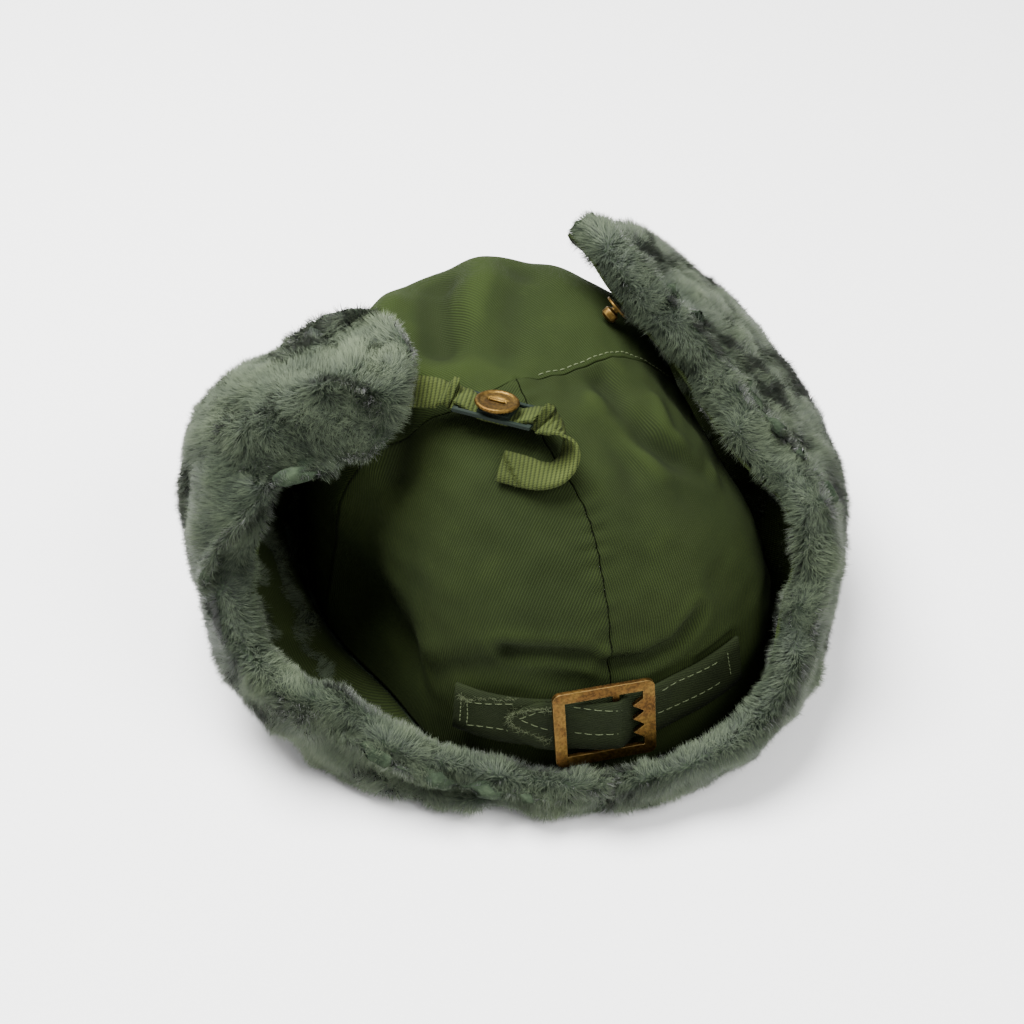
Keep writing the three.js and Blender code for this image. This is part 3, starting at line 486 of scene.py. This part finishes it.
# Creases pressed into the crown's cloth: places in millimetres off the seams' middle line,
# depth below zero is a groove, and width to each side.
CREASES = [
    {"line": [(32, -9, 116), (35, -24, 114), (41, -35, 107), (50, -41, 102), (62, -40, 91)], "depth": -2.2, "width": 4.5},
    {"line": [(26, -20, 118), (31, -38, 111), (41, -50, 103)], "depth": 1.4, "width": 5},
    {"line": [(51, -18, 111), (51, -32, 108), (58, -39, 99), (67, -40, 90)], "depth": 1.6, "width": 4},
    {"line": [(29, -29, 116), (28, -50, 110), (28, -66, 99)], "depth": -1.1, "width": 5},
    {"line": [(-40, 6, 114), (-45, -4, 106), (-50, -13, 98)], "depth": -2.6, "width": 6},
    {"line": [(-52, -66, 43), (-46, -74, 52), (-37, -80, 57), (-28, -84, 63)], "depth": -1.6, "width": 4.5},
    {"line": [(-28, -83, 65), (-22, -86, 66), (-13, -90, 66), (1, -93, 63)], "depth": -3.0, "width": 2.8},
    {"line": [(6, -94, 59), (20, -95, 57), (34, -92, 59), (45, -88, 67)], "depth": -2.8, "width": 2.8},
    {"line": [(44, -94, 47), (50, -91, 48), (55, -89, 49), (59, -86, 49)], "depth": -1.6, "width": 1.6},
    {"line": [(-12, 61, 122), (-18, 45, 123), (-22, 25, 121)], "depth": -4.0, "width": 9},
    {"line": [(20, 55, 124), (7, 32, 126), (0, 15, 124)], "depth": -2.2, "width": 8},
    {"line": [(-65, -22, 14), (-60, -35, 12)], "depth": -2.5, "width": 6},
]
# Just in front of the seam across the top, on the right.
SEAM_LINE = [
    (9, -4, 122), (20, -3, 121.4), (30, -0.3, 120.6), (39, 3.1, 119.4), (48, 6.4, 115), (61, 9, 108), (70, 12, 92),
]
PUCKERS = [
    ([(1, -8, 122), (1, -18, 120), (2, -36, 117), (6, -47, 113), (10, -64, 103), (8, -83, 85), (6, -93, 70)], 5.5, 0.5),
    ([(9, -7, 122), (17, -6, 121), (26, -3, 119), (36, 2, 116), (52, 18, 102), (65, 30, 91)], 6.0, 0.4),
]


def crease_heights(points):
    off = points - np.array(SET_OFF)
    height = np.zeros(len(points))
    for crease in CREASES:
        away = away_from_line(off, crease["line"]) / MM
        height += crease["depth"] * np.exp(-((away / crease["width"]) ** 2))
        height -= crease["depth"] * 0.35 * np.exp(-(((away - 2.1 * crease["width"]) / crease["width"]) ** 2))
    return height


def pucker_heights(points):
    """Small gathers that run away from the sewn seams."""
    off = points - np.array(SET_OFF)
    height = np.zeros(len(points))
    for line, reach, depth in PUCKERS:
        away = away_from_line(off, line) / MM
        along = off @ np.array(Vector(line[-1]) - Vector(line[0])) / (Vector(line[-1]) - Vector(line[0])).length / MM
        gather = np.sin(along * 2 * math.pi / 7.5 + 1.5 * ripple(off, 0.03, 5))
        height += depth * gather * np.exp(-((away / reach) ** 2))
    return height


def make_crown_panel(node, name, finish, forward, levels):
    mesh = refined(node, levels)
    points = points_of(mesh)
    outward = points - np.array(CROWN_MIDDLE)
    outward /= np.linalg.norm(outward, axis=1)[:, None]
    creases = crease_heights(points)
    slack = 0.7 * ripple(points, 0.034, 11) + 0.28 * ripple(points, 0.013, 12)
    low = np.clip((points[:, 2] - 12 * MM) / (20 * MM), 0, 1)
    height = (creases + pucker_heights(points) + slack * 0.9) * low
    set_points(mesh, points + outward * (height * MM)[:, None])
    # The crease attribute carries painted shade into the grooves and a painted highlight onto the ridges of the creases
    # and slack folds.
    set_attribute(mesh, "crease", np.clip(0.5 + creases * 0.22 + slack * 0.12, 0, 1))
    map_cloth(mesh, forward)
    panel = add_object(name, mesh, finish)
    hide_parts(node)
    flat_size(mesh)
    return panel


crown_levels = 3
crown_pieces = [
    make_crown_panel("crown_back_panel_right", "crown_panel_back_right", "back_right", (0.2, 1, 0.3), crown_levels),
    make_crown_panel("crown_back_panel_left", "crown_panel_back_left", "back_left", (-0.2, 1, 0.3), crown_levels),
    make_crown_panel("crown_front_panel", "crown_panel_front", "front", (0, 1, 0), crown_levels),
]


# ---------------------------------------------------------------- flaps

def make_flap_cloth(node, name):
    mesh = refined(node, 2)
    points = points_of(mesh)
    map_cloth(mesh, (0, 0.4, 1))
    slack = ripple(points, 0.022, 21)
    # Painted shade and a painted highlight of slack folds that the flap's shape doesn't have.
    set_attribute(mesh, "crease", np.clip(0.5 + slack * 0.15, 0, 1))
    piece = add_object(name, mesh, "flap")
    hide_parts(node)
    flat_size(mesh)
    return piece


flap_cloths = {
    "right": make_flap_cloth("flap_cloth_right", "flap_inside_right"),
    "left": make_flap_cloth("flap_cloth_left", "flap_inside_left"),
    "front": make_flap_cloth("front_flap_cloth", "front_flap_inside"),
}


def tree_of(objects):
    points, faces = [], []
    for piece in objects:
        start = len(points)
        points += [v.co.copy() for v in piece.data.vertices]
        faces += [[start + i for i in p.vertices] for p in piece.data.polygons]
    return BVHTree.FromPolygons(points, faces)


def drawn_in(mesh, depth, cloths):
    """Moves a surface inward, less where the body under it is thin or cloth is near."""
    points, normals = points_of(mesh), normals_of(mesh)
    tree = BVHTree.FromPolygons([Vector(p) for p in points], [list(p.vertices) for p in mesh.polygons])
    cloth = tree_of(cloths)
    moved = np.empty(len(points))
    for i, (point, normal) in enumerate(zip(points, normals)):
        start = Vector(point - normal * 0.1 * MM)
        found = tree.ray_cast(start, Vector(-normal), 30 * MM)
        thick = found[3] if found[3] is not None else 30 * MM
        near = cloth.find_nearest(Vector(point), 6 * MM)[3]
        moved[i] = min(depth, thick * 0.3) * (1 if near is None else max(0, near - 1.2 * MM) / (4.8 * MM))
    return points - normals * moved[:, None]


def bare_faces(cloths, centres, facing):
    """True where a fur face lies against cloth or the floor, so that no hair stands there."""
    cloth = tree_of(cloths)
    bare = (facing[:, 2] < -0.8) & (centres[:, 2] < 6 * MM)
    bare |= (facing[:, 2] > 0.3) & (centres[:, 2] < 9 * MM)
    for i, centre in enumerate(centres):
        near, _, _, away = cloth.find_nearest(Vector(centre), 4 * MM)
        if near is not None and away < 2.6 * MM:
            bare[i] |= (near - Vector(centre)).dot(Vector(facing[i])) > 0.75 * away
    return bare


def scatter(mesh, cloths, count, chance):
    """Places spread evenly over a fur body's hairy faces, with the way out of the surface at each."""
    mesh.calc_loop_triangles()
    triangles = np.empty(len(mesh.loop_triangles) * 3, np.int32)
    mesh.loop_triangles.foreach_get("vertices", triangles)
    triangles = triangles.reshape(-1, 3)
    points, normals = points_of(mesh), normals_of(mesh)
    corners = points[triangles]
    facing = np.cross(corners[:, 1] - corners[:, 0], corners[:, 2] - corners[:, 0])
    areas = np.linalg.norm(facing, axis=1) / 2
    facing /= np.maximum(areas * 2, 1e-12)[:, None]
    share = areas * ~bare_faces(cloths, corners.mean(1), facing)
    picked = chance.choice(len(triangles), size=count, p=share / share.sum())
    a, b = chance.random(count), chance.random(count)
    over = a + b > 1
    a[over], b[over] = 1 - a[over], 1 - b[over]
    weights = np.stack([1 - a - b, a, b], 1)[:, :, None]
    roots = (corners[picked] * weights).sum(1)
    up = (normals[triangles[picked]] * weights).sum(1)
    return roots, up / np.linalg.norm(up, axis=1)[:, None], share.sum()


def level(directions, up):
    """The part of each direction that lies along the surface."""
    return directions - (directions * up).sum(1)[:, None] * up


def nearest_of(leaders, places):
    tree = KDTree(len(leaders))
    for i, leader in enumerate(leaders):
        tree.insert(Vector(leader), i)
    tree.balance()
    return np.array([tree.find(Vector(place))[1] for place in places])


def grow_hairs(mesh, name, cloths, count, seed, length=4.9 * MM):
    """Short plush pile: fine tapered hairs that lean together in small tufts and larger swirls."""
    chance = np.random.default_rng(seed)
    roots, up, area = scatter(mesh, cloths, count, chance)
    lie = level(np.stack([
        1.0 * ripple(roots, 0.040, seed // 100 + 1) + 0.7 * ripple(roots, 0.013, seed // 100 + 4),
        1.0 * ripple(roots, 0.040, seed // 100 + 2) + 0.7 * ripple(roots, 0.013, seed // 100 + 5),
        -0.45 + 0.8 * ripple(roots, 0.045, seed // 100 + 3),
    ], 1), up)
    edge = tree_of(cloths)
    for i, root in enumerate(roots):
        near, _, _, away = edge.find_nearest(Vector(root), 7 * MM)
        if near is not None:
            lie[i] += (np.array(near) - roots[i]) / max(away, 1e-6) * 1.6 * (1 - away / (7 * MM))
    lie = level(lie + chance.normal(scale=0.42, size=(count, 3)), up)
    lie /= np.maximum(np.linalg.norm(lie, axis=1), 0.25)[:, None]
    hollow = ripple(roots, 0.017, seed // 100 + 7)
    lean = np.radians(46 + 12 * ripple(roots, 0.02, seed // 100 + 6) + chance.normal(scale=11, size=count))
    growth = length * (1 + 0.15 * hollow) * chance.uniform(0.65, 1.15, count)
    growth *= np.clip(0.4 + roots[:, 2] / (12 * MM), 0.4, 1)
    tips = roots + growth[:, None] * (up * np.cos(lean)[:, None] + lie * np.sin(lean)[:, None])
    leaders = chance.choice(count, size=max(60, int(area / (2.4 * MM) ** 2)), replace=False)
    own = nearest_of(roots[leaders], roots + chance.normal(scale=0.5 * MM, size=(count, 3)))
    gather = chance.uniform(0.15, 0.6, len(leaders))[own]
    away = np.linalg.norm(roots - roots[leaders[own]], axis=1)
    gather *= np.clip(1.4 - away / (3 * MM), 0, 1)
    tips += gather[:, None] * (tips[leaders[own]] - tips)
    side = np.cross(tips - roots, up)
    side /= np.maximum(np.linalg.norm(side, axis=1), 1e-9)[:, None]
    roll = chance.normal(scale=0.5, size=count)
    side = side * np.cos(roll)[:, None] + up * np.sin(roll)[:, None]
    wide = chance.uniform(0.11, 0.2, count)[:, None] * MM * 1
    strands = np.stack([roots - side * wide, roots + side * wide, tips], 1)
    strands[:, :, 2] = np.maximum(strands[:, :, 2], 0.15 * MM)
    flat = np.cross(strands[:, 1] - strands[:, 0], strands[:, 2] - strands[:, 0])
    flat *= np.sign((flat * up).sum(1) + 1e-12)[:, None]
    flat /= np.maximum(np.linalg.norm(flat, axis=1), 1e-12)[:, None]
    soft = flat * 0.35 + up * 0.65 + lie * 0.2
    tuft = chance.random(len(leaders))[own]
    shade = 0.42 + 0.26 * (tuft - 0.5) + 0.34 * (chance.random(count) - 0.5)
    # Hairs in the pile's dips are also painted darker, as painted shade; the wider ripple is the pile's own uneven
    # tone.
    shade += 0.11 * hollow + 0.12 * ripple(roots, 0.06, seed // 100 + 8)
    return hair_mesh(strands, soft, np.clip(shade, 0.02, 0.98), name)


def hair_mesh(strands, soft, shade, name):
    """One slim triangle for each hair, shaded mostly as the pile's surface is."""
    count = len(strands)
    mesh = bpy.data.meshes.new(name)
    mesh.vertices.add(count * 3)
    mesh.vertices.foreach_set("co", strands.ravel())
    mesh.loops.add(count * 3)
    mesh.loops.foreach_set("vertex_index", np.arange(count * 3, dtype=np.int32))
    mesh.polygons.add(count)
    mesh.polygons.foreach_set("loop_start", np.arange(count, dtype=np.int32) * 3)
    across = shade[:, None] + np.array([-0.004, 0.004, 0])
    along = np.tile(np.array([0.01, 0.01, 0.99]), (count, 1))
    mesh.uv_layers.new(name="OFBake").data.foreach_set(
        "uv", np.stack([across, along], 2).ravel().astype(np.float32)
    )
    mesh.update(calc_edges=True)
    mesh.shade_smooth()
    soft /= np.linalg.norm(soft, axis=1)[:, None]
    mesh.normals_split_custom_set(np.repeat(soft, 3, 0))
    return mesh


def make_fur(node, side, cloths, count, parts, seed):
    mesh = refined(node, 2, hard=75)
    set_points(mesh, drawn_in(mesh, 2.6 * MM, cloths))
    lumps = 0.6 * ripple(points_of(mesh), 0.017, seed // 100 + 7)
    shaped = points_of(mesh) + normals_of(mesh) * (lumps * MM)[:, None]
    shaped[:, 2] = np.maximum(shaped[:, 2], 0.0)
    set_points(mesh, shaped)
    shell = add_object(f"fur_body_{side}", mesh, "backing")
    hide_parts(node)
    for part in range(parts):
        name = f"fur_hairs_{side}_{part + 1}"
        hairs = grow_hairs(mesh, name, cloths, count // (1), seed + part)
        add_object(name, hairs, "hairs")


make_fur("flap_fur_right", "right", [flap_cloths["right"]], 125000, 2, 100)
make_fur("flap_fur_left", "left", [flap_cloths["left"]], 115000, 2, 300)
make_fur("front_flap_fur", "front", [flap_cloths["front"]], 80000, 1, 500)


# ---------------------------------------------------------------- straps

def map_strap(mesh, along):
    """A strap's map in millimetres: along it and across it."""
    points = points_of(mesh) / MM
    along = np.array(Vector(along).normalized())
    across = np.cross(np.array([0, 0, 1.0]), along)
    both = np.stack([points @ along, points[:, 2] + points @ across], 1)
    layer = mesh.uv_layers.new(name="cloth")
    layer.data.foreach_set("uv", both[corner_vertices(mesh)].ravel().astype(np.float32))


def make_strap(node, name, finish, along):
    mesh = refined(node, 2)
    map_strap(mesh, along)
    points = points_of(mesh)
    # Uneven painted shade and a painted highlight of small folds that the strap's shape doesn't have.
    set_attribute(mesh, "crease", np.clip(0.5 + 0.2 * ripple(points, 0.012, 31), 0, 1))
    strap = add_object(name, mesh, finish)
    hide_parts(node)
    flat_size(mesh)
    return strap


straps = {
    "right": make_strap("back_strap_right", "strap_with_point", "strap", (1, 0, 0)),
    "left": make_strap("back_strap_left", "strap_fixed", "strap", (1, -0.3, 0)),
    "tie": make_strap("tie_strap", "tie_webbing_strap", "webbing", (1, -0.5, 0)),
}


# ---------------------------------------------------------------- metal pieces

def bevelled(node, name, finish, width, segments=2):
    work = bmesh.new()
    work.from_mesh(NODES[node].data)
    bmesh.ops.remove_doubles(work, verts=work.verts, dist=2e-6)
    bmesh.ops.dissolve_limit(work, angle_limit=math.radians(4), verts=work.verts, edges=work.edges)
    worn = work.faces.layers.float.new("worn_edge")
    sharp = [e for e in work.edges if e.is_manifold and e.calc_face_angle(0) > math.radians(35)]
    rounded = bmesh.ops.bevel(
        work, geom=sharp, offset=width, segments=segments, profile=0.6, affect="EDGES", clamp_overlap=True
    )
    for face in rounded["faces"]:
        face[worn] = 1.0
    bmesh.ops.triangulate(work, faces=[f for f in work.faces if len(f.verts) > 4])
    mesh = bpy.data.meshes.new(name)
    work.to_mesh(mesh)
    work.free()
    mesh.shade_smooth()
    piece = add_object(name, mesh, finish)
    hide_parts(node)
    return piece


bevelled("buckle", "buckle_frame", "buckle", 0.45 * MM)
bevelled("tie_slide", "slide_plate", "enamel", 0.25 * MM)
bevelled("flap_stud", "stud_knob", "button", 0.2 * MM)


def turned(work, profile, place, rings=48):
    """A body turned about its own axis from distances out and up, in millimetres."""
    rows = []
    for out, up in profile:
        row = []
        for k in range(rings):
            angle = 2 * math.pi * k / rings
            row.append(work.verts.new(place @ Vector((out * math.cos(angle), out * math.sin(angle), up))))
        rows.append(row)
    for low, high in zip(rows[:-1], rows[1:]):
        for k in range(rings):
            n = (k + 1) % rings
            work.faces.new((low[k], low[n], high[n], high[k]))
    work.faces.new(rows[0][::-1])
    work.faces.new(rows[-1])


def capsule(work, start, end, radius, place, rings=12):
    """A round-ended bar between two points in millimetres."""
    start, end = Vector(start), Vector(end)
    way = (end - start).normalized()
    side = way.orthogonal().normalized()
    other = way.cross(side)
    rows = []
    for along, scale in ((-0.9, 0.3), (-0.6, 0.75), (0, 1), (1, 1), (1.6, 0.75), (1.9, 0.3)):
        middle = start + way * along * radius if along < 0.5 else end + way * (along - 1) * radius
        rows.append([
            work.verts.new(place @ (middle + (side * math.cos(t) + other * math.sin(t)) * radius * scale))
            for t in np.linspace(0, 2 * math.pi, rings, endpoint=False)
        ])
    for low, high in zip(rows[:-1], rows[1:]):
        for k in range(rings):
            n = (k + 1) % rings
            work.faces.new((low[k], low[n], high[n], high[k]))
    work.faces.new(rows[0][::-1])
    work.faces.new(rows[-1])


def make_button():
    """A dished brass disc with a rolled rim, a long hollow in its middle and a bar across the hollow."""
    points = points_of(NODES["tie_button"].data)
    turn = (Matrix.Rotation(math.radians(-38), 4, "Z") @ Matrix.Rotation(math.radians(-13), 4, "X"))
    own = points @ np.array(turn.to_3x3())
    low, high = own.min(0), own.max(0)
    base = turn @ Vector(((low[0] + high[0]) / 2, (low[1] + high[1]) / 2, low[2]))
    place = Matrix.Translation(base) @ turn @ Matrix.Scale(MM, 4)
    neck = (high[2] - low[2]) / MM - 2.4
    work = bmesh.new()
    turned(work, [
        (3.4, 0.0), (3.4, neck), (6.4, neck + 0.05), (7.4, neck + 0.35), (8.05, neck + 0.9), (8.25, neck + 1.35),
        (8.1, neck + 1.8), (7.7, neck + 2.15), (7.2, neck + 2.25), (6.75, neck + 2.1), (6.4, neck + 1.85),
        (6.0, neck + 1.72), (5.0, neck + 1.78), (0.02, neck + 1.9),
    ], place)
    mesh = bpy.data.meshes.new("button_dish")
    work.to_mesh(mesh)
    work.free()
    mesh.shade_smooth()
    dish = add_object("button_dish", mesh, "button")
    cutter_work = bmesh.new()
    for share in (-0.5, -0.25, 0, 0.25, 0.5):
        capsule(cutter_work, (-2.9, share, neck + 2.5), (2.9, share, neck + 2.5), 1.35 - abs(share) * 0.4, place, 16)
    hollow = bpy.data.meshes.new("button_hollow")
    cutter_work.to_mesh(hollow)
    cutter_work.free()
    cutter = bpy.data.objects.new("button_hollow", hollow)
    bpy.context.scene.collection.objects.link(cutter)
    cut = dish.modifiers.new("hollow", "BOOLEAN")
    cut.operation = "DIFFERENCE"
    cut.object = cutter
    cut.solver = "EXACT"
    cut.use_self = True
    bpy.context.view_layer.update()
    done = bpy.data.meshes.new_from_object(dish.evaluated_get(bpy.context.evaluated_depsgraph_get()))
    dish.modifiers.clear()
    dish.data = done
    bpy.data.objects.remove(cutter)
    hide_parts("tie_button")
    bar_work = bmesh.new()
    capsule(bar_work, (-2.6, 0.0, neck + 1.75), (2.6, 0.0, neck + 1.75), 0.55, place, 16)
    bar = bpy.data.meshes.new("button_bar")
    bar_work.to_mesh(bar)
    bar_work.free()
    bar.shade_smooth()
    add_object("button_bar", bar, "button")


make_button()


# ---------------------------------------------------------------- stitching

def outermost(tree, place):
    """The outside of a piece nearest over a place, and the way out there."""
    out = (place - CROWN_MIDDLE).normalized()
    hit, normal, _, _ = tree.ray_cast(place + out * 9 * MM, -out, 16 * MM)
    if hit is None:
        hit, normal, _, _ = tree.find_nearest(place)
    return hit, normal if normal.dot(out) > 0 else -normal


def stitches(name, lines, target, pitch=2.9, length=2.2, thick=0.30):
    """Rows of short raised threads laid on a piece, joined in one mesh."""
    tree = tree_of(target)
    ring = [(math.cos(t), math.sin(t)) for t in np.linspace(0, 2 * math.pi, 6, endpoint=False)]
    points, faces = [], []
    for line in lines:
        dots = [Vector(p) * MM + SET_OFF for p in line]
        runs = [(b - a).length for a, b in zip(dots[:-1], dots[1:])]
        steps = max(1, int(sum(runs) / MM / pitch))
        for step in range(steps):
            ends = []
            for reach in (step * pitch, step * pitch + length):
                left = reach * MM
                for (a, b), run in zip(zip(dots[:-1], dots[1:]), runs):
                    if left <= run or b is dots[-1]:
                        ends.append(a.lerp(b, min(left / run, 1.0)))
                        break
                    left -= run
            placed = [outermost(tree, end) for end in ends]
            start, finish = placed[0][0], placed[1][0]
            up = (placed[0][1] + placed[1][1]).normalized()
            way = (finish - start)
            if way.length < 0.6 * MM:
                continue
            side = way.normalized().cross(up)
            for share, lift, scale in ((0, -0.15, 0.5), (0.15, 0.1, 0.9), (0.5, 0.2, 1), (0.85, 0.1, 0.9), (1, -0.15, 0.5)):
                centre = start.lerp(finish, share) + up * lift * MM
                for x, y in ring:
                    points.append(centre + (side * x + up * y * 0.7) * thick * scale * MM)
            base = len(points) - 30
            for r in range(4):
                for k in range(6):
                    n = (k + 1) % 6
                    faces.append((base + r * 6 + k, base + r * 6 + n, base + r * 6 + 6 + n, base + r * 6 + 6 + k))
            faces.append([base + k for k in range(5, -1, -1)])
            faces.append([base + 24 + k for k in range(6)])
    mesh = bpy.data.meshes.new(name)
    mesh.from_pydata(points, [], faces)
    mesh.shade_smooth()
    return add_object(name, mesh, "thread")


stitches("seam_stitches_top_right", [SEAM_LINE], crown_pieces[2:], thick=0.26)
stitches("strap_stitches", [
    [(26, -102, 46), (32, -100, 46.5), (41, -98, 46), (50, -95, 45), (54, -93, 45)],
    [(24, -105, 37), (32, -103, 36), (42, -101, 35.5), (50, -98, 35), (56, -96, 35)],
    [(-44, -84, 43), (-39, -87, 44), (-32, -91, 46), (-26, -93, 47)],
    [(-44, -86, 32), (-40, -89, 33.5), (-33, -93, 34.5), (-27, -97, 34)],
    [(-8, -104, 36), (-3, -107, 36), (4, -109, 36.5), (13, -107, 36)],
    [(-8, -103, 48), (-3, -106, 48), (4, -108, 47.5), (12, -106, 46)],
    [(-15, -103, 47), (-20, -99, 46), (-27, -97, 42), (-21, -100, 39), (-15, -103, 37)],
], [straps["right"], straps["left"]], pitch=3.9, length=3.1, thick=0.22)
def fibres(name, line, target, count, seed, length, finish="thread", thick=0.07):
    """Frayed ends: short bent fibres that stand out of a line of places, joined in one mesh."""
    chance = np.random.default_rng(seed)
    tree = tree_of(target)
    dots = [Vector(p) * MM + SET_OFF for p in line]
    points, faces = [], []
    for _ in range(count):
        step = chance.integers(len(dots) - 1)
        start = dots[step].lerp(dots[step + 1], chance.random())
        start += Vector(chance.normal(scale=0.35 * MM, size=3))
        root, up = outermost(tree, start)
        aside = Vector(chance.normal(size=3))
        aside = (aside - up * aside.dot(up)).normalized()
        bend = Vector(chance.normal(size=3)) * 0.35
        reach = length * chance.uniform(0.5, 1.2) * MM
        rise = chance.uniform(0.1, 0.7)
        base = len(points)
        for share in (0, 0.35, 0.7, 1):
            middle = root + (aside * share + up * (0.08 + rise * share * (1 - 0.5 * share)) + bend * share * share) * reach
            for k in range(3):
                turn = 2 * math.pi * k / 3
                points.append(middle + (aside.cross(up) * math.cos(turn) + up * math.sin(turn)) * thick * (1.15 - share) * MM)
        for r in range(3):
            for k in range(3):
                n = (k + 1) % 3
                faces.append((base + r * 3 + k, base + r * 3 + n, base + r * 3 + 3 + n, base + r * 3 + 3 + k))
    mesh = bpy.data.meshes.new(name)
    mesh.from_pydata(points, [], faces)
    mesh.shade_smooth()
    return add_object(name, mesh, finish)


both_straps = [straps["right"], straps["left"]]
fibres("frayed_point", [(-15, -102, 48), (-21, -99, 47), (-28, -96, 45), (-31, -95, 41), (-27, -98, 37), (-16, -103, 32)], both_straps, 260, 41, 2.0)
fibres("frayed_strap_end", [(-45, -82, 45), (-44, -84, 44), (-40, -86, 45)], both_straps, 70, 42, 1.8)
fibres("frayed_strap_top", [(-40, -86, 46), (-33, -90, 48), (-27, -93, 49)], both_straps, 60, 43, 1.2)
fibres("frayed_webbing", [(-15, -39, 119), (-14, -45, 116), (-13, -51, 114)], [straps["tie"]], 110, 44, 1.6, "webbing")
stitches("strap_end_stitches", [
    [(-43, -84, 44), (-43, -85, 37), (-44, -86, 31)],
    [(-45, -83, 44), (-46, -84, 31)],
    [(56, -92, 46), (57, -93, 40), (58, -94, 34)],
], [straps["right"], straps["left"]], pitch=2.0, length=1.6, thick=0.24)


# ---------------------------------------------------------------- floor and light

def make_floor():
    bpy.ops.mesh.primitive_plane_add(size=12, location=(0, 0, -0.0002))
    floor = bpy.context.object
    floor.name = "floor"
    floor.data.materials.append(floor_finish())


def make_light(name, place, size, power, target=(0, 0, 0.05)):
    data = bpy.data.lights.new(name, "AREA")
    data.shape = "DISK"
    data.size = size
    data.energy = power
    light = bpy.data.objects.new(name, data)
    bpy.context.scene.collection.objects.link(light)
    light.location = place
    light.rotation_euler = (Vector(place) - Vector(target)).to_track_quat("Z", "Y").to_euler()


def make_world():
    world = bpy.data.worlds.new("studio")
    bpy.context.scene.world = world
    world.use_nodes = True
    sky = world.node_tree.nodes["Background"]
    sky.inputs["Color"].default_value = (1, 1, 1, 1)
    sky.inputs["Strength"].default_value = 0.7


make_floor()
make_world()
make_light("overhead", (-0.30, 0.30, 1.3), 0.9, 76)
make_light("right_fill", (0.55, -0.75, 1.15), 0.8, 20)
